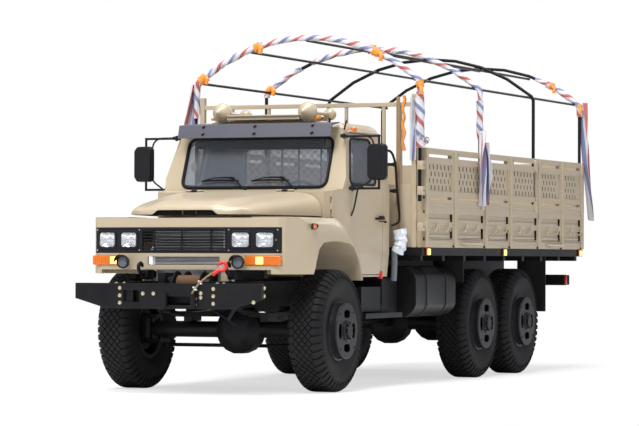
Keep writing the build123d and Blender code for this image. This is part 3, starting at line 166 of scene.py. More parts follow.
bpy.ops.mesh.primitive_plane_add(size=2 * FLOOR_HALF, location=(0, 0, 0))
floor = bpy.context.object
floor.name = "floor"
floor_material = bpy.data.materials.new("floor")
floor_material.use_nodes = True
floor_tree = floor_material.node_tree
lit_floor = floor_tree.nodes["Principled BSDF"]
plugged(floor_tree, lit_floor, {"Base Color": FLOOR_COLOUR, "Roughness": 1.0, "Specular IOR Level": 0.0})
floor_spot = wired(floor_tree, "TexCoord")["Object"]
stretch = wired(floor_tree, "Mapping", {"Vector": floor_spot, "Scale": SHADOW_SHAPE})["Vector"]
distance = wired(floor_tree, "VectorMath", {0: stretch}, operation="LENGTH")["Value"]
fade = wired(floor_tree, "MapRange", {
    "Value": distance, "From Min": SHADOW_NEAR, "From Max": SHADOW_FAR, "To Min": FLOOR_GLOW,
}, interpolation_type="SMOOTHSTEP")["Result"]
shown = wired(floor_tree, "Math", {0: seen_directly(floor_tree), 1: fade}, operation="MULTIPLY")[0]
glow = wired(floor_tree, "Emission", {"Color": WHITE})[0]
floor_look = wired(floor_tree, "MixShader", {0: shown, 1: lit_floor.outputs[0], 2: glow})[0]
plugged(floor_tree, floor_tree.nodes["Material Output"], {"Surface": floor_look})
floor.data.materials.append(floor_material)
bpy.ops.object.select_all(action="DESELECT")
print("lit floor fades out from", SHADOW_NEAR, "to", SHADOW_FAR, "m")

# %% [markdown]
# ## Finishes
# Each finish is a small node recipe on Object coordinates, so it stays put on its piece in every view.
# A soft noise moves the colour and the shine a little, a coarser one lays dust in soft patches,
# and a fine grain gives the surface its tooth.

# %% Recipe for a finish
DARK = 0.03  # a colour below this is black paint or rubber, which has a low sheen
DUST_COLOUR = (0.36, 0.31, 0.24, 1)
COAT_ROUGHNESS = 0.15
SHINE_SPREAD = 0.05
TOOTH_DEPTH = 0.002


def new_finish(name, colour, roughness, metallic=0.0, spread=0.06, scale=4.0, bump=0.04, grain=140.0,
               dust=0.0, alpha=1.0, coat=0.0, glow=0.0):
    """A painted, moulded or woven finish: a colour that varies softly, a film of dust and a fine bump."""
    material = bpy.data.materials.new(name)
    material.use_nodes = True
    tree = material.node_tree
    spot = wired(tree, "TexCoord")["Object"]
    blotch = wired(tree, "TexNoise", {"Vector": spot, "Scale": scale, "Detail": 6})["Fac"]
    darker = (*[c * (1 - spread) for c in colour], 1)
    lighter = (*[min(c * (1 + spread), 1) for c in colour], 1)
    tone = wired(tree, "Mix", {"Factor": blotch, "A": darker, "B": lighter}, data_type="RGBA")["Result"]
    patches = wired(tree, "TexNoise", {
        "Vector": spot, "Scale": scale * 0.45, "Detail": 8, "Roughness": 0.65,
    })["Fac"]
    film = wired(tree, "MapRange", {
        "Value": patches, "From Min": 0.42, "From Max": 0.75, "To Max": dust,
    })["Result"]
    dusted = wired(tree, "Mix", {"Factor": film, "A": tone, "B": DUST_COLOUR}, data_type="RGBA")["Result"]
    shine = wired(tree, "MapRange", {
        "Value": blotch,
        "To Min": max(roughness - SHINE_SPREAD, 0.02),
        "To Max": min(roughness + SHINE_SPREAD, 1),
    })["Result"]
    look = {
        "Base Color": dusted, "Roughness": shine, "Metallic": metallic, "Alpha": alpha, "Coat Weight": coat,
        "Coat Roughness": COAT_ROUGHNESS, "Specular IOR Level": 0.16 if max(colour) < DARK else 0.5,
    }
    if glow:
        look |= {"Emission Color": dusted, "Emission Strength": glow}
    if bump:
        tooth = wired(tree, "TexNoise", {"Vector": spot, "Scale": grain})["Fac"]
        relief = {"Height": tooth, "Strength": bump, "Distance": TOOTH_DEPTH}
        look["Normal"] = wired(tree, "Bump", relief)["Normal"]
    plugged(tree, tree.nodes["Principled BSDF"], look)
    return material


# %% [markdown]
# ## The truck's colours
# One table holds every finish with its colour, its roughness and what else the recipe takes. Sand paint
# has a thin clear coat, the underside is black with dust on it, rubber is the dullest, and lenses glow a
# little, because real lenses gather the daylight from behind. A table keeps like things side by side to
# be tuned.

# %% Finishes by name
FINISHES = {  # name: colour, roughness and what else the recipe takes
    "sand_paint": ((0.42, 0.340, 0.235), 0.34, dict(spread=0.035, dust=0.12, coat=0.25)),
    "chassis_black": ((0.006, 0.006, 0.0075), 0.42, dict(spread=0.2, dust=0.02)),
    "wheel_black": ((0.013, 0.013, 0.016), 0.4, dict(spread=0.15, dust=0.02)),
    "tyre_rubber": ((0.007, 0.007, 0.0085), 0.66, dict(spread=0.25, bump=0.2, dust=0.03)),
    "radiator_metal": ((0.55, 0.55, 0.57), 0.4, dict(metallic=0.35)),
    "black_plastic": ((0.012, 0.012, 0.014), 0.4, {}),
    "visor_grey": ((0.078, 0.078, 0.10), 0.38, {}),
    "lamp_glass": ((0.75, 0.77, 0.80), 0.12, dict(metallic=0.7, bump=0)),
    "amber_lens": ((0.62, 0.145, 0.015), 0.2, dict(bump=0, glow=0.06)),
    "red_lens": ((0.45, 0.015, 0.008), 0.22, dict(bump=0)),
    "window_glass": ((0.17, 0.19, 0.23), 0.05, dict(alpha=0.34, bump=0, spread=0.02)),
    "seat_cover": ((0.035, 0.035, 0.038), 0.85, dict(spread=0.15, bump=0.2, grain=400)),
    "mudflap_rubber": ((0.010, 0.010, 0.011), 0.6, dict(dust=0.05)),
    "striped_cloth": ((0.62, 0.60, 0.66), 0.7, {}),
    "seal_rubber": ((0.006, 0.006, 0.007), 0.5, {}),
    "bare_zinc": ((0.52, 0.45, 0.30), 0.38, dict(metallic=0.75, scale=30)),
    "bright_steel": ((0.62, 0.63, 0.65), 0.22, dict(metallic=0.95)),
    "red_paint": ((0.62, 0.012, 0.010), 0.35, dict(spread=0.08)),
    "orange_tie": ((0.70, 0.24, 0.03), 0.55, dict(spread=0.2, scale=20)),
    "tan_strap": ((0.24, 0.16, 0.08), 0.8, dict(spread=0.25, scale=14, bump=0.3)),
    "drum_brown": ((0.15, 0.08, 0.04), 0.55, dict(spread=0.3, scale=25)),
    "paper": ((0.78, 0.78, 0.76), 0.8, {}),
    "lit_bulb": ((1.0, 0.62, 0.12), 0.3, dict(bump=0, glow=2.6, spread=0.02)),
    "grey_plastic": ((0.13, 0.14, 0.17), 0.5, dict(spread=0.15)),
    "clear_wrap": ((0.62, 0.66, 0.72), 0.2, dict(spread=0.1, scale=60, bump=0.5, grain=90)),
    "dark_mesh": ((0.03, 0.03, 0.032), 0.5, {}),
    "reflector": ((0.80, 0.81, 0.83), 0.10, dict(metallic=1.0, scale=18, bump=0.35, grain=26)),
    "clear_lens": ((0.9, 0.92, 0.95), 0.04, dict(alpha=0.16, bump=0, spread=0.02)),
}
finishes = {}
for name, (colour, roughness, rest) in FINISHES.items():
    finishes[name] = new_finish(name, colour, roughness, **rest)
print("finishes:", len(finishes))

# %% [markdown]
# ## Paint on the working model
# A pressed or welded panel never has a knife edge. Each panel of the working model keeps its mesh and gets
# three live modifiers: one closes the seams between its triangles, one rounds its edges, and one keeps the
# large faces flat in the light.

# %% Rounded edges and paint
EDGES = {  # node: width of the rounded edge in metres
    "cab_shell": 0.009, "bonnet": 0.012, "fenders": 0.012, "nose_panel": 0.014, "door_left": 0.006,
    "door_right": 0.006, "grille": 0.002, "bumper": 0.006, "visor": 0.003, "side_boards": 0.005,
    "tailgate": 0.005, "headboard": 0.005, "bed_rim": 0.005, "fuel_tank": 0.006, "side_boxes": 0.008,
    "cab_glass": 0.001, "door_glass_left": 0.001, "door_glass_right": 0.001, "mirror_left": 0.004,
    "mirror_right": 0.004, "dashboard": 0.015, "rear_bar": 0.005, "mudguards": 0.002, "front_axle": 0.006,
    "rear_axles": 0.006, "driveline": 0.008, "frame": 0.003, "leaf_springs": 0.002, "winch": 0.005,
    "knuckle_left": 0.005, "knuckle_right": 0.005, "engine": 0.02, "radiator": 0.004,
}
SEAM = 0.0002
for subpart in frame["record"]["subparts"]:
    node = nodes[subpart["node"]]
    node.data.materials.clear()
    black_rim = subpart["node"] == "bed_rim"
    node.data.materials.append(finishes["chassis_black" if black_rim else subpart["material_slot"]])
    node.data.polygons.foreach_set("use_smooth", [True] * len(node.data.polygons))
    weld = node.modifiers.new("seams", "WELD")
    weld.merge_threshold = SEAM
    bevel = node.modifiers.new("edges", "BEVEL")
    bevel.width = EDGES.get(subpart["node"], 0.002)
    bevel.segments = 2
    bevel.limit_method = "ANGLE"
    bevel.angle_limit = math.radians(32)
    bevel.harden_normals = True
    flat = node.modifiers.new("flat_faces", "WEIGHTED_NORMAL")
    flat.keep_sharp = True

# %% [markdown]
# ## Working as at a bench
# A few helpers stand for the tools that are picked up again and again. Places are measured from the front
# axle, as a truck builder does. Before each operator one piece alone is selected, because an operator acts
# on all that is selected.

# %% Places, and one piece in hand
FRONT_AXLE = -2.817
FACES_TURN = math.radians(35)


def at(x, y, z):
    """A place whose y is measured from the front axle."""
    return Vector((x, y + FRONT_AXLE, z))


def places(*spots, side=1):
    """Several places on the truck's left side, or on its right for side -1."""
    return [at(side * x, y, z) for x, y, z in spots]


def alone(piece):
    """Makes a piece the only one that is selected."""
    bpy.ops.object.select_all(action="DESELECT")
    piece.select_set(True)
    bpy.context.view_layer.objects.active = piece
    return piece


def modified(piece, kind, **settings):
    """Adds a modifier, sets it and applies it."""
    modifier = alone(piece).modifiers.new("tool", kind)
    for key, value in settings.items():
        setattr(modifier, key, value)
    bpy.ops.object.modifier_apply(modifier=modifier.name)
    return piece


def eased(piece, ease, segments=2):
    """Rounds a piece's sharp edges."""
    angle = {"limit_method": "ANGLE", "angle_limit": FACES_TURN}
    return modified(piece, "BEVEL", width=ease, segments=segments, **angle)


# %% [markdown]
# ## Blocks and drums
# Most small castings are blocks or round bars whose edges are broken. A block starts as a cube and a drum
# as a cone, each at its own size and place, and a bevel rounds the edges, so the light finds a line on
# them.

# %% Blocks and drums
def block(centre, size, ease=0.003, turn=(0, 0, 0), segments=2):
    """A block with rounded edges."""
    bpy.ops.object.select_all(action="DESELECT")
    bpy.ops.mesh.primitive_cube_add(size=1, location=centre, rotation=turn)
    piece = bpy.context.object
    piece.scale = size
    bpy.ops.object.transform_apply(location=True, rotation=True, scale=True)
    return eased(piece, ease, segments) if ease else piece


def drum(start, end, radius, tip=None, ease=0.002, sides=24):
    """A round bar or a taper between two places, with its end edges rounded."""
    bpy.ops.object.select_all(action="DESELECT")
    start, end = Vector(start), Vector(end)
    bpy.ops.mesh.primitive_cone_add(
        vertices=sides, radius1=radius, radius2=radius if tip is None else tip, depth=(end - start).length,
        location=(start + end) / 2, rotation=(end - start).to_track_quat("Z", "Y").to_euler(),
    )
    bpy.ops.object.transform_apply(location=True, rotation=True, scale=True)
    return eased(bpy.context.object, ease) if ease else bpy.context.object


# %% [markdown]
# ## Turned forms
# Rims, tyres, horns and domed lamps are round about one axis, as if turned on a lathe. Half of the
# outline is drawn and spun, and the points that meet at the start and on the axis are merged, so the skin
# is closed.

# %% Turned forms
def new_piece(name, points, edges=(), faces=()):
    """A piece from bare points, edges and faces."""
    mesh = bpy.data.meshes.new(name)
    mesh.from_pydata([tuple(point) for point in points], edges, faces)
    piece = bpy.data.objects.new(name, mesh)
    bpy.context.scene.collection.objects.link(piece)
    return alone(piece)


def turned(outline, place=(0, 0, 0), axis=(0, 0, 1), steps=48, closed=False):
    """A form spun about an axis from points given as radius and distance along the axis."""
    runs = [(i, i + 1) for i in range(len(outline) - 1)] + ([(len(outline) - 1, 0)] if closed else [])
    piece = new_piece("turned", [(radius, 0, along) for radius, along in outline], runs)
    bpy.ops.object.mode_set(mode="EDIT")
    bpy.ops.mesh.select_all(action="SELECT")
    bpy.ops.mesh.spin(steps=steps, angle=2 * math.pi, center=(0, 0, 0), axis=(0, 0, 1))
    bpy.ops.mesh.select_all(action="SELECT")
    bpy.ops.mesh.remove_doubles(threshold=0.00002)
    bpy.ops.mesh.normals_make_consistent(inside=False)
    bpy.ops.object.mode_set(mode="OBJECT")
    turn = Vector(axis).to_track_quat("Z", "Y").to_matrix().to_4x4()
    piece.data.transform(Matrix.Translation(Vector(place)) @ turn)
    return piece


# %% [markdown]
# ## Bent bars
# Tubes, wipers, seals and handles are bars that were bent round a former. A curve with a round section
# gives them, once its path has arcs at the corners. A sweep by hand would pinch at every bend.

# %% Bent bars
def softened(points, bend, closed=False, steps=5):
    """A path whose corners are rounded by arcs that start at the bend's length from the corner."""
    points = [Vector(point) for point in points]
    path = []
    for number, corner in enumerate(points):
        if not closed and number in (0, len(points) - 1):
            path.append(corner)
            continue
        before, after = points[number - 1], points[(number + 1) % len(points)]
        start = corner + (before - corner).normalized() * min(bend, (before - corner).length * 0.49)
        end = corner + (after - corner).normalized() * min(bend, (after - corner).length * 0.49)
        for step in range(steps + 1):
            share = step / steps
            path.append(start * (1 - share) ** 2 + corner * 2 * share * (1 - share) + end * share**2)
    return path


def bar(points, radius, bend=0.0, closed=False, resolution=3):
    """A round bar along a path with rounded corners."""
    path = softened(points, bend, closed) if bend else [Vector(point) for point in points]
    curve = bpy.data.curves.new("bar", "CURVE")
    curve.dimensions = "3D"
    curve.bevel_depth = radius
    curve.bevel_resolution = resolution
    curve.use_fill_caps = not closed
    spline = curve.splines.new("POLY")
    spline.points.add(len(path) - 1)
    spline.points.foreach_set("co", [v for point in path for v in (*point, 1)])
    spline.use_cyclic_u = closed
    piece = bpy.data.objects.new("bar", curve)
    bpy.context.scene.collection.objects.link(piece)
    alone(piece)
    bpy.ops.object.convert(target="MESH")
    return bpy.context.object


# %% [markdown]
# ## Plates with holes
# Sheet parts are cut from flat stock. A flat curve fills its outline, leaves out its holes, and gets a
# wall and a broken edge in one go, which is cleaner than cutting holes out of a solid.

# %% Plates with holes
def plate(outline, wall, holes=(), ease=0.002, origin=(0, 0, 0), right=(1, 0, 0), up=(0, 0, 1)):
    """A flat plate with holes. Its face lies at the origin's plane and its wall goes back from there."""
    curve = bpy.data.curves.new("plate", "CURVE")
    curve.dimensions = "2D"
    curve.fill_mode = "BOTH"
    curve.extrude = wall / 2 - ease
    curve.bevel_depth = ease
    curve.bevel_resolution = 1
    curve.offset = -ease
    for ring in (outline, *holes):
        spline = curve.splines.new("POLY")
        spline.points.add(len(ring) - 1)
        spline.points.foreach_set("co", [v for x, y in ring for v in (x, y, 0, 1)])
        spline.use_cyclic_u = True
    piece = bpy.data.objects.new("plate", curve)
    bpy.context.scene.collection.objects.link(piece)
    alone(piece)
    bpy.ops.object.convert(target="MESH")
    piece = bpy.context.object
    right, up = Vector(right).normalized(), Vector(up).normalized()
    face = right.cross(up)
    turn = Matrix((right, up, face)).transposed().to_4x4()
    piece.data.transform(Matrix.Translation(Vector(origin) - face * wall / 2) @ turn)
    return piece


# %% [markdown]
# ## Outlines of plates
# Panes, hatches and lamp bezels are rectangles with round corners, and discs and their holes are circles.
# Both outlines are worked out from their sizes, so that a plate and the hole in it can share one value.

# %% Rounded rectangle and circle
def rounded(width, height, radius, centre=(0, 0), steps=4):
    """A rectangle's outline with round corners."""
    points = []
    for corner, (x, y) in enumerate(((1, 1), (-1, 1), (-1, -1), (1, -1))):
        for step in range(steps + 1):
            turn = math.radians(90 * (corner + step / steps))
            points.append((
                centre[0] + x * (width / 2 - radius) + radius * math.cos(turn),
                centre[1] + y * (height / 2 - radius) + radius * math.sin(turn),
            ))
    return points


def ring(radius, centre=(0, 0), sides=32, start=0.0):
    """A circle's outline."""
    turns = [start + 2 * math.pi * side / sides for side in range(sides)]
    return [(centre[0] + radius * math.cos(turn), centre[1] + radius * math.sin(turn)) for turn in turns]


# %% [markdown]
# ## Copies and mirror images
# What repeats is made once and copied, each copy with its own mesh. A mirror image turns a skin inside
# out, so its faces are turned round again as soon as the copy is made.

# %% Copies and mirror images
def copied(piece, change):
    """A copy with its own mesh, moved, turned or mirrored by a matrix."""
    copy = bpy.data.objects.new(piece.name, piece.data.copy())
    bpy.context.scene.collection.objects.link(copy)
    copy.data.transform(change)
    if change.to_3x3().determinant() < 0:
        copy.data.flip_normals()
    return copy


def moved(piece, change):
    """The same piece, moved or turned by a matrix."""
    piece.data.transform(change)
    return piece


MIRROR = Matrix.Scale(-1, 4, (1, 0, 0))


def with_mirror(pieces):
    """The pieces and their mirror images on the truck's other side."""
    return [*pieces, *[copied(piece, MIRROR) for piece in pieces]]


# %% [markdown]
# ## Finished pieces
# When the parts of a piece are ready, they are painted and joined into one mesh. Smooth faces are told
# from sharp edges by their angle, and the piece is told which body it rides on, so that it follows a door
# or a wheel that turns.

# %% Finished pieces
def finished(name, groups, body="chassis", replaces=(), smooth=FACES_TURN):
    """Paints and joins the parts of one piece, shades it, and lets it ride on its body.

    The groups are lists of parts, each under the name of its finish.
    """
    parts = []
    for finish, group in groups.items():
        for part in group:
            part.data.materials.clear()
            part.data.materials.append(finishes[finish])
        parts += group
    alone(parts[0])
    for part in parts:
        part.select_set(True)
    if len(parts) > 1:
        bpy.ops.object.join()
    joined = bpy.context.object
    joined.name = name
    joined.data.name = name
    bpy.ops.object.shade_smooth_by_angle(angle=smooth)
    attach(joined, body)
    if replaces:
        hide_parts(*replaces)
    print(name, len(joined.data.polygons), "faces")
    return joined

# %% [markdown]
# ## Tyres
# A cross-country tyre is moulded: a smooth round carcass, diamond blocks in slanting rows over the crown,
# and long scooped lugs that run over each shoulder and die out on the sidewall. The carcass is a spun
# outline, because it is round in every section.

# %% Tyre section and carcass
WHEEL_CENTRES = {}  # place: side, y of the axle
for axle, axle_y in (("front", 0.0), ("middle", 3.825), ("rear", 5.125)):
    for side, sign in (("left", 1), ("right", -1)):
        WHEEL_CENTRES[f"{axle}_{side}"] = (sign, axle_y)
HALF_TRACK = 0.970
TYRE_RADIUS = 0.568
PITCHES = 48
LUG_WALL = 0.017
# Half the carcass from the bead to the middle of the crown: distance from the middle plane, radius
CARCASS = [
    (0.118, 0.259), (0.1235, 0.263), (0.128, 0.284), (0.139, 0.310), (0.151, 0.350), (0.1605, 0.400),
    (0.1645, 0.432), (0.1638, 0.452), (0.1668, 0.456), (0.1668, 0.462), (0.1632, 0.466), (0.1612, 0.478),
    (0.158, 0.490), (0.150, 0.505), (0.139, 0.524), (0.126, 0.541), (0.110, 0.549), (0.055, 0.5515),
    (0, 0.552),
]
# One shoulder lug: distance from the middle plane, radius of its foot, half its width, how far it leans
LUG = [
    (0.068, 0.5505, 0.004, 0.0), (0.081, 0.5502, 0.018, 0.0), (0.094, 0.5500, 0.0312, 0.0),
    (0.110, 0.5480, 0.0310, 0.001), (0.122, 0.5410, 0.0295, 0.003), (0.135, 0.5260, 0.0270, 0.007),
    (0.146, 0.5080, 0.0240, 0.012), (0.1530, 0.4930, 0.0190, 0.017), (0.1570, 0.4800, 0.0110, 0.021),
]
BLOCK_LONG = 0.0322
BLOCK_WIDE = 0.0270
BLOCK_ROW = 0.031
SIDEWALL_STEPS = 96

section = CARCASS + [(-x, radius) for x, radius in reversed(CARCASS[:-1])]
carcass = turned([(radius, x) for x, radius in section], axis=(1, 0, 0), steps=SIDEWALL_STEPS, closed=True)
print("carcass faces:", len(carcass.data.polygons))


# %% [markdown]
# ## Tread
# The blocks of the crown and the lugs of the shoulders are the same round the whole tyre. So one pitch is
# drawn as flat patches on the carcass, Solidify pulls them inwards to give them walls, and a spin with
# copies sets the pitch 48 times round the axle. Sculpting all of them one by one would never be as even.

# %% One pitch of the tread
def around(x, radius, along):
    """A place on the tyre: along is measured round the crown."""
    turn = along / TYRE_RADIUS
    return (x, radius * math.sin(turn), radius * math.cos(turn))


pitch = 2 * math.pi * TYRE_RADIUS / PITCHES
patches, patch_faces = [], []
for row in range(-2, 3):
    middle = 0 if row % 2 else pitch / 2
    first = len(patches)
    for x, along in ((BLOCK_WIDE, 0), (0, BLOCK_LONG), (-BLOCK_WIDE, 0), (0, -BLOCK_LONG)):
        patches.append(around(row * BLOCK_ROW + x, 0.5505, middle + along))
    patch_faces.append((first, first + 3, first + 2, first + 1))
for side in (1, -1):
    first = len(patches)
    for x, radius, half, lean in LUG:
        for share in (-1, 0, 1):
            patches.append(around(side * x, radius, lean * side + share * half))
    for step in range(len(LUG) - 1):
        for share in (0, 1):
            corner = first + 3 * step + share
            face = (corner, corner + 1, corner + 4, corner + 3)
            patch_faces.append(face if side > 0 else face[::-1])
tread = new_piece("tread", patches, (), patch_faces)
modified(tread, "SOLIDIFY", thickness=LUG_WALL, offset=-1)
eased(tread, 0.0022, 1)
bpy.ops.object.mode_set(mode="EDIT")
bpy.ops.mesh.select_all(action="SELECT")
bpy.ops.mesh.spin(
    steps=PITCHES, angle=2 * math.pi, center=(0, 0, 0), axis=(1, 0, 0), dupli=True, use_auto_merge=False,
)
bpy.ops.object.mode_set(mode="OBJECT")
print("tread faces:", len(tread.data.polygons))

# %% [markdown]
# ## Wheels
# The rim is rolled steel and the disc is a pressed plate that stands proud of the tyre. The rim is a spun
# outline. The disc is a flat plate cut with four kidney slots and four hand holes, and a turned ring and a
# hub close its middle.

# %% Wheel
RIM = [  # radius, distance from the middle plane
    (0.279, -0.134), (0.276, -0.125), (0.2577, -0.121), (0.2577, 0.121), (0.276, 0.125), (0.2795, 0.130),
    (0.276, 0.134), (0.262, 0.136), (0.258, 0.142), (0.258, 0.188), (0.262, 0.203), (0.259, 0.211),
    (0.252, 0.2145), (0.246, 0.2145), (0.246, 0.200), (0.238, 0.180), (0.238, -0.128), (0.250, -0.134),
]
KIDNEY = [  # radius, degrees to each side of the slot's middle
    (0.196, -17), (0.199, 0), (0.196, 17), (0.186, 23), (0.150, 26), (0.132, 22), (0.122, 9), (0.122, -9),
    (0.132, -22), (0.150, -26), (0.186, -23),
]
DISC_WALL = 0.014
DISC_FACE = 0.215
HUB_BORE = 0.0605
NUT_RING = 0.079
HAND_HOLE_RING = 0.229

# %% [markdown]
# ## Parts of one wheel
# The rim is spun, the disc is cut flat with its slots and holes, and eight nuts are copied round the hub.
# The parts are joined into one wheel only when all of them stand, so that each could still be changed
# alone.

# %% Parts of one wheel
rim = turned(RIM, axis=(1, 0, 0), steps=72, closed=True)
disc_holes = [ring(HUB_BORE, sides=40)]
for quarter in range(4):
    turn = math.radians(90 * quarter)
    disc_holes.append([
        (radius * math.cos(turn + math.radians(lean)), radius * math.sin(turn + math.radians(lean)))
        for radius, lean in KIDNEY
    ])
    hole_turn = turn + math.radians(47)
    hole_spot = (HAND_HOLE_RING * math.cos(hole_turn), HAND_HOLE_RING * math.sin(hole_turn))
    disc_holes.append(ring(0.0105, hole_spot, 12))
disc = plate(ring(0.2535, sides=72), DISC_WALL, disc_holes, 0.003, (DISC_FACE, 0, 0), (0, 1, 0), (0, 0, 1))
boss = turned([
    (HUB_BORE, DISC_FACE - 0.010), (HUB_BORE, DISC_FACE + 0.010), (0.064, DISC_FACE + 0.012),
    (0.093, DISC_FACE + 0.012), (0.0975, DISC_FACE + 0.009), (0.099, DISC_FACE - 0.004),
], axis=(1, 0, 0), steps=48, closed=True)
wheel_parts = [rim, disc, boss]
nut = drum((DISC_FACE + 0.008, 0, 0), (DISC_FACE + 0.026, 0, 0), 0.0105, sides=6, ease=0.0015)
for number in range(8):
    turn = math.radians(45 * number + 22)
    place = Matrix.Translation((0, NUT_RING * math.cos(turn), NUT_RING * math.sin(turn)))
    wheel_parts.append(copied(nut, place))
bpy.data.objects.remove(nut)
alone(rim)
for part in wheel_parts:
    part.select_set(True)
bpy.ops.object.join()
alone(carcass)
tread.select_set(True)
bpy.ops.object.join()
print("faces of one wheel and one tyre:", len(rim.data.polygons), len(carcass.data.polygons))

# %% [markdown]
# ## Six of them
# Wheels on the two sides are the same part turned about, with the dish outwards. A half turn keeps the
# lean of the lugs as on the real truck, where a mirror image would reverse it.

# %% Six tyres and wheels
for place, (sign, axle_y) in WHEEL_CENTRES.items():
    change = Matrix.Translation(at(sign * HALF_TRACK, axle_y, TYRE_RADIUS))
    if sign < 0:
        change = change @ Matrix.Rotation(math.pi, 4, "Z")
    for kind, pattern, finish in (("tyre", carcass, "tyre_rubber"), ("wheel", rim, "wheel_black")):
        part = {finish: [copied(pattern, change)]}
        finished(f"{kind}_smooth_{place}", part, f"wheel_{place}", [f"{kind}_{place}"])
for pattern in (carcass, rim):
    bpy.data.objects.remove(pattern)

# %% [markdown]
# ## The line of the nose
# The nose isn't flat: seen from above, it is set back a little towards each fender. What sits on it takes
# its depth from that line and faces the way that the nose faces there. So two small helpers read the
# line, and no lamp or screw needs a depth of its own.

# %% The nose's line
NOSE_LINE = [(0, 0), (0.500, 0.018), (0.840, 0.050), (0.915, 0.075)]


def nose_y(x):
    """How far the nose's front lies before the front axle, at a distance x from the middle."""
    for (near, near_back), (far, far_back) in zip(NOSE_LINE, NOSE_LINE[1:]):
        if abs(x) <= far:
            return -1.040 + near_back + (far_back - near_back) * (abs(x) - near) / (far - near)
    return -0.905


def nose_right(x):
    """The direction along the nose's front at x."""
    return Vector((0.02, nose_y(x + 0.01) - nose_y(x - 0.01), 0)).normalized()


print("nose set back at the lamps:", round(nose_y(0.790) - nose_y(0), 3))

# %% [markdown]
# ## Lamps in the nose
# Each headlamp is a rounded square of clear glass over a bowl of bright metal, held in a black bezel. The
# bowl is what makes it sparkle, so it is a real dished reflector behind a thin pane.

# %% Headlamps
LAMP_XS = (-0.790, -0.560, 0.560, 0.790)
LAMP_Z = 1.402
LAMP_WIDTH = 0.178
LAMP_HEIGHT = 0.144


def dish(width, height, depth, rings=7):
    """A bowl that is a rounded rectangle at its mouth and round at its floor, facing -Y from the origin."""
    points, faces = [], []
    for number in range(rings + 1):
        share = number / rings
        narrower, lower = width * (1 - 0.62 * share), height * (1 - 0.5 * share)
        square = rounded(narrower, lower, 0.02 + 0.012 * share, steps=6)
        sunk = depth * math.sin(share * math.pi / 2)
        points += [(x, sunk, z) for x, z in square]
    count = len(points) // (rings + 1)
    for number in range(rings):
        for side in range(count):
            one, two = number * count + side, number * count + (side + 1) % count
            faces.append((one, one + count, two + count, two))
    faces.append(tuple(rings * count + side for side in range(count)))
    return new_piece("dish", points, (), faces)


bezels, reflectors, lenses, bulbs, hoods, faces = [], [], [], [], [], []
for x in LAMP_XS:
    middle = at(x, nose_y(x), LAMP_Z)
    right = nose_right(x)
    turn = Matrix.Translation(middle) @ Matrix.Rotation(math.atan2(right.y, right.x), 4, "Z")
    out = right.cross(Vector((0, 0, 1)))
    bezels.append(plate(
        rounded(LAMP_WIDTH + 0.022, LAMP_HEIGHT + 0.020, 0.030), 0.026,
        [rounded(LAMP_WIDTH - 0.016, LAMP_HEIGHT - 0.014, 0.026)], 0.005, middle + out * 0.009, right,
    ))
    back_plate = rounded(LAMP_WIDTH - 0.002, LAMP_HEIGHT - 0.002, 0.004)
    bezels.append(plate(back_plate, 0.006, (), 0.001, middle - out * 0.062, right))
    bowl = dish(LAMP_WIDTH - 0.014, LAMP_HEIGHT - 0.012, 0.045)
    moved(bowl, turn @ Matrix.Translation((0, 0.006, 0)))
    reflectors.append(modified(bowl, "SOLIDIFY", thickness=0.002, offset=-1))
    bulbs.append(moved(drum((0, 0.018, 0), (0, 0.052, 0), 0.011, 0.014), turn))
    pane = rounded(LAMP_WIDTH - 0.015, LAMP_HEIGHT - 0.013, 0.0255)
    lenses.append(plate(pane, 0.004, (), 0.001, middle + out * 0.002, right))
print("headlamps:", len(reflectors))

# %% [markdown]
# ## Hooded lamps
# Two small black lamps stand on stalks in front of the grille, each with a brim over its face. The bowl and
# the brim are turned, and a bisect cuts away the lower part of the brim, as a real hood is open below.

# %% Hooded lamps, and all lamps joined
for sign in (1, -1):
    dome = at(sign * 0.576, -1.085, 1.200)
    shell = turned([
        (0.0, 0.050), (0.022, 0.046), (0.040, 0.035), (0.055, 0.012), (0.061, -0.016), (0.061, -0.030),
        (0.054, -0.034), (0.050, -0.028), (0.046, -0.022), (0.0, -0.018),
    ], dome, (0, 1, 0), 28)
    brim = [(0.0625, -0.030), (0.0655, -0.075), (0.0675, -0.075), (0.0645, -0.020)]
    visor = turned(brim, dome, (0, 1, 0), 28, closed=True)
    bpy.ops.object.mode_set(mode="EDIT")
    bpy.ops.mesh.select_all(action="SELECT")
    bpy.ops.mesh.bisect(
        plane_co=dome + Vector((0, -0.036, 0.012)), plane_no=(0, 0.50, -0.86), clear_outer=True,
        use_fill=True,
    )
    bpy.ops.object.mode_set(mode="OBJECT")
    stalk = block(dome + Vector((0, 0.075, 0)), (0.030, 0.080, 0.030), 0.005)
    foot = block(dome + Vector((0, 0.090, 0)), (0.060, 0.012, 0.060), 0.004)
    faces.append(drum(dome + Vector((0, -0.026, 0)), dome + Vector((0, -0.019, 0)), 0.048, sides=28))
    hoods += [shell, visor, stalk, foot]
finished("headlamps", {
    "black_plastic": bezels, "wheel_black": hoods, "grey_plastic": faces, "reflector": reflectors,
    "bright_steel": bulbs, "clear_lens": lenses,
}, replaces=["front_lamps"])

# %% [markdown]
# ## Amber lamps
# A long turn lamp lies below each pair of headlamps, with a rounded lens over fine upright ribs and one
# lit bulb behind it. Repeaters stand on the fenders and markers under the boards. Plates and blocks are
# enough, because only the ribs and the lit part show at this size.

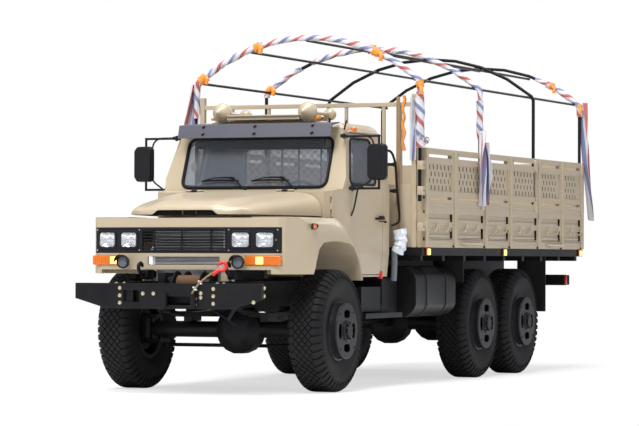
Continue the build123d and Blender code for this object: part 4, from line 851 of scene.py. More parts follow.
# %% Turn lamps, side markers and repeaters
TURN_X = 0.775
TURN_Z = 1.215
TURN_LONG = 0.338
TURN_HIGH = 0.090
MARKER_YS = (1.930, 4.197, 6.781)
lamps, lit, dark = [], [], []
for sign in (1, -1):
    right = nose_right(TURN_X)
    right = Vector((right.x, right.y * sign, 0))
    middle = at(sign * TURN_X, nose_y(TURN_X), TURN_Z)
    out = Vector((right.y, -right.x, 0))
    lamps.append(plate(rounded(TURN_LONG, TURN_HIGH, 0.018), 0.040, (), 0.008, middle + out * 0.012, right))
    for step in range(-6, 7):
        rib = middle + out * 0.012 + right * (step * 0.023)
        lamps.append(block(rib, (0.005, 0.006, TURN_HIGH - 0.030), 0.0015, segments=1))
    for edge in (-1, 1):
        bead = middle + out * 0.011 + Vector((0, 0, edge * 0.034))
        reach = right * (TURN_LONG / 2 - 0.022)
        lamps.append(bar([bead - reach, bead + reach], 0.0035))
    glow_x = -0.030 if sign > 0 else 0.060
    lit.append(block(
        middle + out * 0.0125 + right * glow_x, (0.070, 0.009, TURN_HIGH - 0.024), 0.004,
        (0, 0, math.atan2(right.y, right.x)),
    ))
    for y in MARKER_YS:
        place = at(sign * 1.250, y, 1.308)
        dark.append(block(place - Vector((sign * 0.010, 0, -0.004)), (0.014, 0.088, 0.078), 0.003))
        lit.append(block(place + Vector((sign * 0.004, 0, -0.002)), (0.024, 0.070, 0.060), 0.009))
        lamps.append(block(place + Vector((-sign * 0.002, 0, -0.002)), (0.022, 0.080, 0.070), 0.006))
    place = at(sign * 1.088, -0.567, 1.526)
    dark.append(block(place + Vector((sign * 0.002, 0, 0)), (0.022, 0.094, 0.056), 0.009))
    inner, outer = place + Vector((0, 0.050, 0.004)), place + Vector((sign * 0.014, 0.030, 0.004))
    dark.append(drum(inner, outer, 0.024, 0.018))
    lamps.append(block(place + Vector((sign * 0.012, -0.006, 0)), (0.022, 0.064, 0.038), 0.010))
finished("amber_lenses", {"amber_lens": lamps, "lit_bulb": lit, "black_plastic": dark},
         replaces=["amber_lamps"])

# %% [markdown]
# ## Grille, radiator fins and the nose's small parts
# Behind the grille's bars the charge cooler shows as a stack of bright thin fins between two tanks. One fin
# is a bar with rounded edges, and the rest are copies of it, which is how the real core is stacked.

# %% Cooler fins behind the bars
FIN_PITCH = 0.0125
COOLER_Y = -0.985
fins = []
for low, high, left, right in ((1.172, 1.252, -0.300, 0.372), (1.288, 1.508, -0.290, 0.386)):
    middle = (left + right) / 2
    fin = block(at(middle, COOLER_Y, low), (right - left, 0.022, 0.0062), 0.0018, segments=1)
    count = int((high - low) / FIN_PITCH)
    for number in range(count + 1):
        fins.append(copied(fin, Matrix.Translation((0, 0, number * FIN_PITCH))))
    bpy.data.objects.remove(fin)
    for x in (left - 0.012, right + 0.012):
        fins.append(block(at(x, COOLER_Y, (low + high) / 2), (0.026, 0.030, high - low + 0.012), 0.004))
# The black plate behind the fins is painted shade: it stands for the dark depth of the cooler core.
shade_behind_fins = block(at(0.04, COOLER_Y + 0.022, 1.34), (0.74, 0.012, 0.40), 0.003)
finished("cooler_fins", {"radiator_metal": fins, "seal_rubber": [shade_behind_fins]})

# %% [markdown]
# ## Grille trim
# Screws hold the grille panel at its corners, and thin stays stand between its bars. One screw is turned
# with a domed head and copied to each corner along the way that the panel faces there.

# %% Screws, stays and the grille's frame
screws, stays = [], []
screw = turned([(0, 0.0045), (0.004, 0.004), (0.0068, 0.001), (0.0068, -0.004), (0, -0.004)], steps=12)
for sign in (1, -1):
    for x, z in ((0.448, 1.492), (0.448, 1.306), (0.905, 1.492), (0.905, 1.306)):
        right = nose_right(sign * x)
        out = Vector((right.y, -right.x, 0))
        place = Matrix.Translation(at(sign * x, nose_y(x), z) + out * 0.001)
        screws.append(copied(screw, place @ out.to_track_quat("Z", "Y").to_matrix().to_4x4()))
    place = Matrix.Translation(at(sign * 0.89, nose_y(0.89) - 0.002, 1.40))
    screws.append(copied(screw, place @ Matrix.Rotation(math.radians(90), 4, "X")))
for x in (-0.300, -0.02, 0.270):
    stays.append(block(at(x, nose_y(x) + 0.016, LAMP_Z), (0.016, 0.010, 0.190), 0.002))
for z in (1.304, 1.500):
    stays.append(bar([at(x, nose_y(x) - 0.001, z) for x in (-0.418, -0.2, 0, 0.2, 0.418)], 0.006))
for sign in (1, -1):
    stays.append(block(at(sign * 0.419, nose_y(0.419) + 0.004, LAMP_Z), (0.010, 0.020, 0.206), 0.003))
finished("grille_trim", {"black_plastic": stays, "bare_zinc": screws})
bpy.data.objects.remove(screw)

# %% [markdown]
# ## Bumper, tow hooks and the winch rope
# The bumper is bolted through its face, and the zinc bolt heads are what the eye picks out on the black
# steel. One bolt is a hexagon with a round washer, copied to each place. The winch rope is held taut from
# the fairlead to the left tow hook by a red clevis hook, so it is modelled as rigging. Its two clamps are
# bright castings with a U-bolt each.

# %% Bolts
BUMPER_FACE = -1.366
BOLTS = [  # x, z on the bumper's face
    (-0.473, 0.966), (-0.473, 0.898), (-0.473, 0.832), (-0.241, 0.916), (-0.136, 0.917), (-0.031, 0.872),
    (-0.031, 0.818), (0.278, 0.871), (0.278, 0.818), (0.333, 0.922), (0.333, 0.884), (0.457, 0.962),
    (0.457, 0.897), (0.457, 0.830),
]
bolt = drum((0, 0.004, 0), (0, -0.009, 0), 0.0125, 0.011, 0.0015, 6)
washer = drum((0, 0.004, 0), (0, -0.0025, 0), 0.0175, ease=0.0008, sides=16)
bolt_rounded = drum((0, -0.008, 0), (0, -0.012, 0), 0.008, 0.005, 0.001, 10)
bolts = []
for x, z in BOLTS:
    spot = Matrix.Translation(at(x, BUMPER_FACE, z)) @ Matrix.Rotation(math.radians(37 * x * 10), 4, "Y")
    bolts += [copied(shape, spot) for shape in (bolt, washer, bolt_rounded)]
for x, z in ((-0.53, 1.009), (-0.45, 1.009), (0.475, 1.009), (0.54, 1.009)):
    spot = Matrix.Translation(at(x, BUMPER_FACE + 0.045, z)) @ Matrix.Rotation(math.radians(-90), 4, "X")
    bolts += [copied(shape, spot) for shape in (bolt, washer)]
for x, y, z in ((0.926, -1.30, 0.90), (0.926, -1.30, 0.97), (0.85, -1.367, 0.845)):
    turn = Matrix.Rotation(math.radians(90), 4, "Z") if x > 0.9 else Matrix()
    bolts += [copied(shape, Matrix.Translation(at(x, y, z)) @ turn) for shape in (bolt, washer)]
# Dark discs flush with the bumper's face are painted shade: they stand for the shade inside its holes.
hole_shades = []
for x, z, radius in ((0.607, 0.911, 0.013), (-0.60, 0.905, 0.008), (-0.13, 1.0, 0.006)):
    inner, outer = at(x, BUMPER_FACE + 0.004, z), at(x, BUMPER_FACE - 0.0012, z)
    hole_shades.append(drum(inner, outer, radius, ease=0.0004, sides=20))
finished("bumper_bolts", {"bare_zinc": bolts, "seal_rubber": hole_shades})
for shape in (bolt, washer, bolt_rounded):
    bpy.data.objects.remove(shape)

# %% [markdown]
# ## Tow hooks and winch
# A tow hook is a thick round bar bent into an open loop on a bolted foot. The winch drum shows its rope
# as coils side by side between two cheeks. A long spiral could be drawn, but turned coils that lean a
# little look the same and close cleanly.

# %% Tow hooks, winch drum and braces
HOOK_LINE = [  # back and up from the hook's foot
    (0.10, 0.0), (-0.02, 0.0), (-0.130, 0.010), (-0.165, 0.075), (-0.120, 0.110), (-0.085, 0.090),
]
WINCH_AXLE = (-1.150, 1.010)
hooks = []
for x in (0.500, -0.375):
    foot = at(x, -1.03, 1.085)
    hooks.append(bar([foot + Vector((0, y, z)) for y, z in HOOK_LINE], 0.017, 0.035, resolution=4))
    hooks.append(drum(foot + Vector((0, -0.088, 0.090)), foot + Vector((0, -0.070, 0.070)), 0.017, 0.010))
    hooks.append(block(foot + Vector((0, 0.03, 0.0)), (0.075, 0.16, 0.085), 0.012))
COIL = [(0.066, -0.007), (0.073, 0.0), (0.066, 0.007), (0.050, 0.007), (0.050, -0.007)]
CHEEK = [(0.045, -0.006), (0.108, -0.006), (0.112, 0), (0.108, 0.006), (0.045, 0.006)]
coils = []
for number in range(17):
    x = 0.020 + number * 0.0145
    coils.append(turned(COIL, at(x, *WINCH_AXLE), (1, 0.02, 0), 24, closed=True))
frame_parts = [turned(CHEEK, at(x, *WINCH_AXLE), (1, 0, 0), 32, closed=True) for x in (0.000, 0.270)]
frame_parts.append(drum(at(-0.06, *WINCH_AXLE), at(0.33, *WINCH_AXLE), 0.042))
for start, end in (((0.33, -1.20, 0.80), (0.56, -1.10, 0.63)), ((0.60, -1.20, 0.80), (0.46, -1.05, 0.68))):
    along = at(*end) - at(*start)
    turn = along.to_track_quat("Z", "Y").to_euler()
    frame_parts.append(block((at(*start) + at(*end)) / 2, (0.030, 0.012, along.length), 0.003, turn))
finished("tow_hooks", {
    "seal_rubber": hooks, "drum_brown": coils, "chassis_black": frame_parts,
})

# %% [markdown]
# ## Rope
# The rope is laid from strands that go round each other. A thin core carries them, and each strand is a
# bar along a helix that follows the rope's bends, so the rope keeps its twist where it turns.

# %% Rope of five strands
ROPE = places(
    (0.225, -1.330, 0.875), (0.262, -1.405, 0.918), (0.318, -1.392, 1.000), (0.362, -1.330, 1.060),
    (0.410, -1.270, 1.108),
)
STRANDS = 5
LAY = 0.075  # length over which a strand goes once round
STRAND_STEP = 0.006
STRAND_REACH = 0.0062
rope_parts = [bar(ROPE, 0.0075, 0.03)]
rope_line = softened(ROPE, 0.03)
lengths = [(two - one).length for one, two in zip(rope_line, rope_line[1:])]
for strand in range(STRANDS):
    path, run = [], 0.0
    for number, point in enumerate(rope_line[:-1]):
        pieces_here = max(int(lengths[number] / STRAND_STEP), 1)
        ahead = (rope_line[number + 1] - point).normalized()
        side = ahead.cross(Vector((1, 0, 0))).normalized()
        other = ahead.cross(side)
        for part in range(pieces_here):
            angle = 2 * math.pi * (strand / STRANDS + run / LAY)
            spot = point.lerp(rope_line[number + 1], part / pieces_here)
            path.append(spot + (side * math.cos(angle) + other * math.sin(angle)) * STRAND_REACH)
            run += lengths[number] / pieces_here
    rope_parts.append(bar(path, 0.0036, resolution=1))
print("rope:", STRANDS, "strands,", round(sum(lengths), 3), "m long")

# %% [markdown]
# ## Clamps and hook
# Two bright clamps grip the rope with a U-bolt each, and a red clevis hook ends it. They are modelled at
# the origin and then moved onto the rope's line, which keeps their parts square to it.

# %% Clamps and the red clevis hook
bright, red = [], []
ahead = (ROPE[2] - ROPE[1]).normalized()
turn = ahead.to_track_quat("Z", "Y").to_matrix().to_4x4()
for share in (0.30, 0.68):
    place = Matrix.Translation(ROPE[1].lerp(ROPE[3], share) + Vector((0, -0.004, 0))) @ turn
    loop = [(-0.013, 0.03, 0), (-0.013, -0.022, 0), (0.013, -0.022, 0), (0.013, 0.03, 0)]
    bright.append(moved(block((0, 0, 0), (0.040, 0.026, 0.026), 0.006), place))
    bright.append(moved(bar(loop, 0.0042, 0.012), place))
    for x in (-0.013, 0.013):
        bright.append(moved(drum((x, 0.014, 0), (x, 0.026, 0), 0.0085, ease=0.001, sides=6), place))
hook_line = places(
    (0.440, -1.245, 1.128), (0.480, -1.225, 1.120), (0.512, -1.205, 1.150), (0.505, -1.200, 1.192),
    (0.470, -1.205, 1.200), (0.442, -1.215, 1.182),
)
red.append(bar([ROPE[-1] + Vector((-0.010, 0.0, -0.02)), *hook_line], 0.0155, 0.03, resolution=4))
red.append(drum(at(0.446, -1.215, 1.185), at(0.430, -1.220, 1.160), 0.0155, 0.007))
for side in (-1, 1):
    eye, cheek = (0.400 + side * 0.016, -1.278, 1.085), (0.425 + side * 0.014, -1.262, 1.105)
    red.append(bar(places(eye, cheek, (0.446, -1.245, 1.122)), 0.010, 0.015))
red.append(drum(at(0.378, -1.285, 1.092), at(0.428, -1.270, 1.080), 0.009))
latch_line = places((0.440, -1.222, 1.170), (0.478, -1.218, 1.150), (0.490, -1.215, 1.132))
bright.append(bar(latch_line, 0.0045, 0.01))
finished("winch_rope", {"tan_strap": rope_parts, "bright_steel": bright, "red_paint": red})

# %% [markdown]
# ## Striped cloth on the hoops
# Long strips of striped woven cloth are wound round the bare hoops and tied with orange ribbon. The stripes
# run along the strip, so they are drawn from the UV map's place across it. One finish then serves wound and
# hanging cloth alike, and a coarse noise soils it.

# %% Finish of the striped cloth
STRIPES = [  # place across the strip, colour
    (0.0, (0.64, 0.63, 0.66)), (0.20, (0.45, 0.12, 0.12)), (0.42, (0.66, 0.65, 0.68)),
    (0.68, (0.20, 0.22, 0.40)), (0.88, (0.64, 0.63, 0.67)),
]
SOIL_SHARE = 0.55
CLEAN_SHARE = 0.42
tree = finishes["striped_cloth"].node_tree
across = wired(tree, "SeparateXYZ", {0: wired(tree, "TexCoord")["UV"]})["X"]
ramp = tree.nodes.new("ShaderNodeValToRGB")
ramp.color_ramp.interpolation = "CONSTANT"
for number, (place, colour) in enumerate(STRIPES):
    stop = ramp.color_ramp.elements[number] if number < 2 else ramp.color_ramp.elements.new(place)
    stop.position = place
    stop.color = (*colour, 1)
plugged(tree, ramp, {0: wired(tree, "Math", {0: across}, operation="FRACT")[0]})
striped = ramp.outputs[0]
spot = wired(tree, "TexCoord")["Object"]
soil = wired(tree, "TexNoise", {"Vector": spot, "Scale": 9, "Detail": 5})["Fac"]
soiled = wired(
    tree, "Mix", {"Factor": SOIL_SHARE, "A": striped, "B": soil}, data_type="RGBA", blend_type="MULTIPLY",
)["Result"]
colour = wired(tree, "Mix", {"Factor": CLEAN_SHARE, "A": soiled, "B": striped}, data_type="RGBA")["Result"]
weave = wired(tree, "TexWave", {"Vector": spot, "Scale": 260, "Distortion": 0.6})["Fac"]
tooth = wired(tree, "Bump", {"Height": weave, "Strength": 0.12, "Distance": 0.001})["Normal"]
plugged(tree, tree.nodes["Principled BSDF"], {"Base Color": colour, "Normal": tooth})
print("stripes across the cloth:", len(STRIPES))

# %% [markdown]
# ## The hoops' line
# Each hoop is a tube with straight legs, tight elbows and a flat bow. The cloth follows it, so the line
# is kept as a short list of places, and two helpers find any place along it by its distance from the
# start.

# %% Places along a hoop
HOOP_YS = (1.800, 3.535, 5.249, 6.880)
HOOP_HALF = 1.208
HOOP_CREST = 3.439
HOOP_RISE = 0.446
BOW = (HOOP_HALF**2 + HOOP_RISE**2) / (2 * HOOP_RISE)
HOOP_LINE = [(HOOP_HALF, 1.800), (HOOP_HALF, 2.963), (1.188, 3.009)]
for share in (0.75, 0.5, 0.25, 0):
    x = share * HOOP_HALF
    HOOP_LINE.append((x, HOOP_CREST - BOW + math.sqrt(BOW**2 - x**2)))


def measured(path):
    """How far along a path each of its points lies."""
    lengths = [0.0]
    for one, two in zip(path, path[1:]):
        lengths.append(lengths[-1] + (two - one).length)
    return lengths


def part_way(path, lengths, along):
    """The place at a distance along a path, and the path's direction there."""
    number = next(i for i in range(len(lengths) - 1) if along <= lengths[i + 1] + 1e-9)
    share = (along - lengths[number]) / (lengths[number + 1] - lengths[number])
    return path[number].lerp(path[number + 1], share), (path[number + 1] - path[number]).normalized()


def hoop_points(y, start, end, step=0.016):
    """Places along a hoop, from a share of its length to another, counted from the left foot."""
    hoop = [at(x, y, z) for x, z in HOOP_LINE] + [at(-x, y, z) for x, z in reversed(HOOP_LINE[:-1])]
    lengths = measured(hoop)
    total = lengths[-1]
    count = int((end - start) * total / step)
    alongs = [(start + (end - start) * number / count) * total for number in range(count + 1)]
    return [part_way(hoop, lengths, along)[0] for along in alongs]


print("top of a hoop:", round(HOOP_LINE[-1][1], 3))


# %% [markdown]
# ## Wound strips
# A wound strip covers its tube in a spiral, so its stripes come out as slanted bands, and each turn
# stands proud of the next. It is made ring by ring along the hoop. A loose draw of chance every few rings
# keeps the turns from looking machined.

# %% Strips wound round the hoops
WIND = 0.30
LOOSE_STEP = 6  # points between one draw of looseness and the next
chance = random.Random(11)


def mapped(piece, uvs):
    """Gives a piece a UV map from one pair of values for each corner of its faces."""
    layer = piece.data.uv_layers.new(name="UVMap")
    layer.data.foreach_set("uv", [value for pair in uvs for value in pair])
    return piece


def wound(points, radius=0.027, sides=14, wind=WIND, swell=0.006, turn=1):
    """A strip wound round a bar in a spiral, with the turns standing proud of each other."""
    skin, uvs, run = [], [], 0.0
    wobble = [chance.uniform(-1, 1) for _ in range(len(points) // LOOSE_STEP + 3)]
    other = Vector((0, 1, 0))
    for number, point in enumerate(points):
        run += (point - points[number - 1]).length if number else 0.0
        ahead = (points[min(number + 1, len(points) - 1)] - points[max(number - 1, 0)]).normalized()
        side = ahead.cross(other).normalized()
        low, share = divmod(number / LOOSE_STEP, 1)
        loose = wobble[int(low)] * (1 - share) + wobble[int(low) + 1] * share
        for step in range(sides + 1):
            angle = 2 * math.pi * step / sides
            across = run / wind - turn * step / sides
            proud = (across % 1.0) * swell
            reach = radius + proud + 0.004 * loose + 0.003 * math.sin(2 * angle + run * 23)
            uvs.append((across, run))
            if step < sides:
                skin.append(point + (side * math.cos(angle) + other * math.sin(angle)) * reach)
    faces, corners = [], []
    for number in range(len(points) - 1):
        for step in range(sides):
            base, after = number * sides, (step + 1) % sides
            flat = number * (sides + 1) + step
            faces.append((base + step, base + after, base + sides + after, base + sides + step))
            corners += [uvs[flat], uvs[flat + 1], uvs[flat + sides + 2], uvs[flat + sides + 1]]
    for end in (0, len(points) - 1):
        cap = [end * sides + step for step in range(sides)]
        faces.append(tuple(cap if end else reversed(cap)))
        corners += [uvs[end * (sides + 1)]] * sides
    piece = mapped(new_piece("wound", skin, (), faces), corners)
    bpy.ops.object.mode_set(mode="EDIT")
    bpy.ops.mesh.select_all(action="SELECT")
    bpy.ops.mesh.normals_make_consistent(inside=False)
    bpy.ops.object.mode_set(mode="OBJECT")
    return piece


# %% [markdown]
# ## The wound hoops
# Three hoops carry wound cloth, each over its own stretch, thick where the strip starts and thin where it
# runs out. A table keeps the stretches in the order in which they are wound, because every strip takes
# its draws of chance in turn.

# %% Wound strips in their places
WRAPS = [  # hoop, start and end as shares of its length, and how the strip is wound
    (0, 0.105, 0.215, dict(radius=0.040, swell=0.010, wind=0.26)),
    (0, 0.215, 0.830, dict(radius=0.028)),
    (1, 0.135, 0.215, dict(radius=0.031, wind=0.24)),
    (1, 0.215, 0.640, dict(radius=0.025)),
    (1, 0.665, 0.770, dict(radius=0.024, turn=-1)),
    (3, 0.212, 0.330, dict(radius=0.030)),
    (3, 0.330, 0.360, dict(radius=0.020)),
]
wraps = [wound(hoop_points(HOOP_YS[hoop], start, end), **how) for hoop, start, end, how in WRAPS]
finished("hoop_wraps", {"striped_cloth": wraps})

# %% [markdown]
# ## Ties and knots
# Short lengths of orange ribbon tie the cloth to the hoops, each with a loose tail. They are wound the
# same way with a tight spiral, since a ribbon round a tube is the same thing at a smaller size.

# %% Orange ties and knots
TIES = [  # hoop, share of its length, radius, length
    (0, 0.345, 0.038, 0.09), (0, 0.230, 0.036, 0.07), (0, 0.610, 0.037, 0.07), (0, 0.745, 0.037, 0.09),
    (1, 0.500, 0.040, 0.09), (1, 0.752, 0.036, 0.08), (3, 0.318, 0.034, 0.05), (3, 0.236, 0.032, 0.04),
]
TIE_ENDS = ((0.01, -0.03, 0.02), (0.03, -0.045, -0.02), (0.02, -0.04, -0.075))  # from the tie's first point
ties, knots = [], []
for hoop, share, radius, length in TIES:
    spots = hoop_points(HOOP_YS[hoop], share - length / 12, share + length / 12, 0.012)
    ties.append(wound(spots, radius, 12, 0.05, 0.012))
    ties.append(wound([spots[0] + Vector(end) for end in TIE_ENDS], 0.016, 8, 0.05, 0.008))
knot_spot = at(1.236, 1.800, 2.395)
for number in range(5):
    tilt = number * 1.3
    start = knot_spot + Vector((0.03 * math.cos(tilt), 0.045 * math.sin(tilt), 0.03 * math.sin(tilt * 1.7)))
    end = knot_spot + Vector((0.035 * math.cos(tilt + 2), 0.05 * math.sin(tilt + 2), 0))
    end.z -= 0.045 * math.cos(tilt)
    middle = knot_spot + Vector((0.05 * math.cos(tilt + 1), 0.03, 0.02))
    knots.append(wound(softened([start, middle, end], 0.05), 0.018, 10, 0.08, 0.006))
finished("cloth_ties", {"orange_tie": ties, "striped_cloth": knots})

# %% [markdown]
# ## Hanging ends of the strips
# The loose ends hang in soft pleats. Cloth doesn't stretch, so each cross-section is a wave whose length is
# worked out to be the strip's flat width: where it hangs narrow, its pleats are deep.

# %% Depth of the pleats
ROWS = 44
COLUMNS = 20
WAVE_STEPS = 60
WAVE_DRIFT = 2.2  # how far the pleats move sideways over a strip's length, in radians
CLOTH_WALL = 0.0012


def table_value(values, share):
    """A value from a list that is spread evenly from 0 to 1."""
    spot = share * (len(values) - 1)
    index = min(int(spot), len(values) - 2)
    return values[index] + (values[index + 1] - values[index]) * (spot - index)


def pleat_depth(width, flat_width, drift):
    """How deep one wave has to be, so that its length over the width is the strip's flat width."""
    low, high = 0.0, flat_width
    for _ in range(24):
        deep = (low + high) / 2
        shares = [step / WAVE_STEPS for step in range(WAVE_STEPS + 1)]
        wave = [(width * (s - 0.5), deep * math.sin(2 * math.pi * s + drift)) for s in shares]
        arc = sum(math.dist(one, two) for one, two in zip(wave, wave[1:]))
        low, high = (deep, high) if arc < flat_width else (low, deep)
    return deep


print("pleats of a 0.24 m strip hung 0.17 m wide:", round(pleat_depth(0.17, 0.24, 0), 3), "m deep")

# %% [markdown]
# ## Hanging a strip
# A strip is a grid of places: rows go down its line and columns go across its pleats. Solidify gives it
# the wall of thin cloth. A cloth simulation could drop it, but a grid that is worked out keeps the pleats
# where they are wanted.

# %% How a strip hangs
def hang(name, line, widths, flat_width, facing, turn=0.0, start_u=0.0, replaces=()):
    """Hangs a strip along a line, with pleats that keep its flat width, and lets it ride on its body."""
    points, faces, uvs = [], [], []
    path = softened(places(*line), 0.12)
    lengths = measured(path)
    total = lengths[-1]
    for row in range(ROWS + 1):
        share = row / ROWS
        along = share * total
        place, ahead = part_way(path, lengths, along)
        angle = facing + turn * share
        across = Vector((math.cos(angle), math.sin(angle), 0))
        across = (across - ahead * across.dot(ahead)).normalized()
        normal = ahead.cross(across)
        width = table_value(widths, share)
        deep = pleat_depth(width, flat_width, share * WAVE_DRIFT)
        for column in range(COLUMNS + 1):
            s = column / COLUMNS
            sway = 0.006 * math.sin(share * 9 + s * 4)
            fold = deep * math.sin(2 * math.pi * s + share * WAVE_DRIFT)
            points.append(place + across * (width * (s - 0.5)) + normal * (fold + sway))
            uvs.append((start_u + s * flat_width / 0.26 + along * 0.5, along))
    for row in range(ROWS):
        for column in range(COLUMNS):
            base = row * (COLUMNS + 1) + column
            faces.append((base, base + 1, base + COLUMNS + 2, base + COLUMNS + 1))
    piece = new_piece(name, points, (), faces)
    mapped(piece, [uvs[corner] for face in faces for corner in face])
    modified(piece, "SOLIDIFY", thickness=CLOTH_WALL, offset=0)
    strip = {"striped_cloth": [piece]}
    return finished(name, strip, replaces=replaces, smooth=math.radians(80))


# %% [markdown]
# ## Where the strips hang
# Five loose ends show, on the legs of three hoops and beside the headboard. Each has its own line, widths
# and flat width, judged against the hoop's tube and the boards behind it.

# %% The five hanging ends
QUARTER = math.radians(90)
hang("strip_front_right", [(-1.245, 1.800, 2.99), (-1.252, 1.790, 2.75), (-1.262, 1.770, 2.42)],
     (0.055, 0.11, 0.16, 0.17), 0.24, QUARTER * 0.35, replaces=["cloth_strips"])
hang("strip_middle_front", [(1.262, 3.47, 2.56), (1.268, 3.43, 2.25), (1.266, 3.43, 1.78)],
     (0.035, 0.10, 0.12, 0.11), 0.17, QUARTER * 0.95, start_u=0.05)
hang("strip_middle_rear", [(1.262, 3.56, 2.44), (1.268, 3.66, 2.15), (1.262, 3.56, 1.80)],
     (0.030, 0.10, 0.10, 0.04), 0.15, QUARTER * 1.05, start_u=0.45)
hang("strip_rear", [(1.250, 6.885, 3.02), (1.256, 6.93, 2.60), (1.258, 6.95, 2.30), (1.250, 7.20, 1.70)],
     (0.02, 0.08, 0.11, 0.13, 0.14), 0.20, QUARTER, turn=0.3, start_u=0.2)
hang("strip_headboard", [(1.150, 1.772, 2.82), (1.150, 1.775, 2.40), (1.155, 1.770, 2.20)],
     (0.05, 0.07, 0.06), 0.12, 0.0, start_u=0.3)

# %% [markdown]
# ## Cab: seals, wipers and mirrors
# Every pane sits in a black rubber seal, which is a soft tube that follows the pane's edge. The wipers are
# bent rods with a blade on a bow. The diamond mesh behind the rear window is a grid of thin crossed rods.

# %% Window seals
SCREEN_LOW = Vector((0, 0.498 + FRONT_AXLE, 1.893))
SCREEN_HIGH = Vector((0, 0.710 + FRONT_AXLE, 2.394))
SCREEN_UP = (SCREEN_HIGH - SCREEN_LOW).normalized()
SCREEN_OUT = Vector((1, 0, 0)).cross(SCREEN_UP)
SCREEN_HALF = 0.755
SCREEN_TALL = (SCREEN_HIGH - SCREEN_LOW).length
REAR_PANE = ((-0.59, 1.93), (0.59, 1.93), (0.59, 2.33), (-0.59, 2.33))
REAR_PANE_Y = 1.622


def on_screen(x, share, out=0.0):
    """A place on the windscreen, by its x and its share of the height."""
    return SCREEN_LOW + Vector((x, 0, 0)) + SCREEN_UP * (SCREEN_TALL * share) + SCREEN_OUT * out


corners = ((-SCREEN_HALF, 0.035), (SCREEN_HALF, 0.035), (SCREEN_HALF, 0.985), (-SCREEN_HALF, 0.985))
seals = [
    bar([on_screen(x, share, 0.004) for x, share in corners], 0.016, 0.09, closed=True),
    bar([at(x, REAR_PANE_Y, z) for x, z in REAR_PANE], 0.014, 0.08, closed=True),
]
print("windscreen height along its slope:", round(SCREEN_TALL, 3))

# %% [markdown]
# ## Mesh guard
# A diamond mesh guards the rear window. Thin rods that lean both ways are cut off at the frame's edge,
# and a few thicker rods hold them. A picture of a mesh would look flat through the windscreen.

# %% Mesh guard of the rear window
MESH_Y = 1.648
GUARD_Y = 1.655
MESH_LOW = 1.93
MESH_TALL = 0.40
MESH_HALF = 0.58
MESH_STEPS = 20
guards = []
for number in range(-14, 23):
    for lean in (1, -1):
        low_x = number * 0.08 - 0.6
        rod = [(low_x + lean * MESH_TALL * s / MESH_STEPS, MESH_LOW + MESH_TALL * s / MESH_STEPS)
               for s in range(MESH_STEPS + 1)]
        inside = [(x, z) for x, z in rod if abs(x) <= MESH_HALF]
        if len(inside) > 1:
            guards.append(bar([at(x, MESH_Y, z) for x, z in (inside[0], inside[-1])], 0.003, resolution=0))
for x in (-0.59, -0.20, -0.02, 0.22, 0.59):
    guards.append(drum(at(x, GUARD_Y, 1.91), at(x, GUARD_Y, 2.35), 0.009, sides=10))
for z in (1.915, 2.345):
    guards.append(drum(at(-0.60, GUARD_Y, z), at(0.60, GUARD_Y, z), 0.009, sides=10))
finished("window_seals", {"seal_rubber": seals, "dark_mesh": guards})

# %% [markdown]
# ## Door trim
# Each door has a seal round its pane, a rubber strip on its belt line, a pull handle and a lock. They
# ride on the door's body, so that they swing with it.

# %% Seals and handles of the doors
DOOR_PANE = ((0.615, 1.945), (0.802, 2.385), (1.310, 2.385), (1.285, 1.945))
HANDLE = ((0.958, 1.255, 1.622), (0.998, 1.275, 1.622), (0.998, 1.400, 1.622), (0.962, 1.420, 1.622))


def door_place(sign, y, z, out=0.0):
    """A place on a door's outer face, above the belt line."""
    return at(sign * (0.962 - 0.100 * (z - 1.900) / 0.540 + out), y, z)


for sign, side in ((1, "left"), (-1, "right")):
    trim = [
        bar([door_place(sign, y, z, -0.002) for y, z in DOOR_PANE], 0.014, 0.075, closed=True),
        bar(places(*HANDLE, side=sign), 0.011, 0.02),
        block(at(sign * 0.966, 1.405, 1.622), (0.022, 0.115, 0.058), 0.008),
        drum(at(sign * 0.960, 1.500, 1.600), at(sign * 0.975, 1.500, 1.600), 0.016),
        block(door_place(sign, 0.78, 1.925, 0.004), (0.012, 0.300, 0.018), 0.004),
    ]
    finished(f"door_trim_{side}", {"seal_rubber": trim}, f"door_{side}")

# %% [markdown]
# ## Wipers
# A wiper is a bent arm, a bow and a long thin blade, all lying just off the slanted glass. Their places
# are given as a share of the screen's height, so they lie on it whatever its slope. The screws of the
# visor belong to the same black trim, and a dark band just inside the glass below the visor is painted
# shade that stands for the visor's shadow on the screen.

# %% Wipers and the visor's fixings
WIPER_BARS = [  # radius, bend, and places: x from the pivot, share of the screen's height, distance off it
    (0.0085, 0.0, ((-0.150, 0.200, 0.040), (-0.290, 0.205, 0.034))),
    (0.0060, 0.03, ((-0.13, 0.165, 0.020), (-0.20, 0.205, 0.030), (-0.36, 0.205, 0.030),
                    (-0.46, 0.160, 0.020))),
    (0.0085, 0.05, ((-0.10, 0.160, 0.014), (-0.30, 0.175, 0.015), (-0.49, 0.155, 0.014))),
]
wipers = []
for pivot_x in (-0.058, 0.467):
    pivot = at(pivot_x, 0.462, 1.880)
    arm = [pivot, on_screen(pivot_x - 0.05, 0.03, 0.045), on_screen(pivot_x - 0.150, 0.200, 0.040)]
    wipers.append(drum(pivot - Vector((0, 0, 0.03)), pivot + Vector((0, -0.012, 0.025)), 0.017))
    wipers.append(bar(arm, 0.008, 0.03))
    for radius, bend, line in WIPER_BARS:
        wipers.append(bar([on_screen(pivot_x + x, share, out) for x, share, out in line], radius, bend))
for x in (-0.54, 0.0, 0.60):
    for y, z in ((0.512, 2.425), (0.533, 2.495)):
        wipers.append(drum(at(x, y + 0.01, z - 0.004), at(x, y - 0.007, z + 0.002), 0.011))
        wipers.append(bar([at(x + 0.004, y - 0.006, z + 0.002), at(x + 0.022, y - 0.007, z + 0.010)], 0.006))
# A dark band just inside the glass, below the visor, is painted shade: it stands for the visor's shadow on
# the top of the screen.
lean = (math.atan2(SCREEN_UP.z, SCREEN_UP.y) - math.pi / 2, 0, 0)
wipers.append(block(on_screen(-0.02, 0.905, -0.030), (1.36, 0.006, 0.095), 0.003, lean))
finished("wipers", {"seal_rubber": wipers})

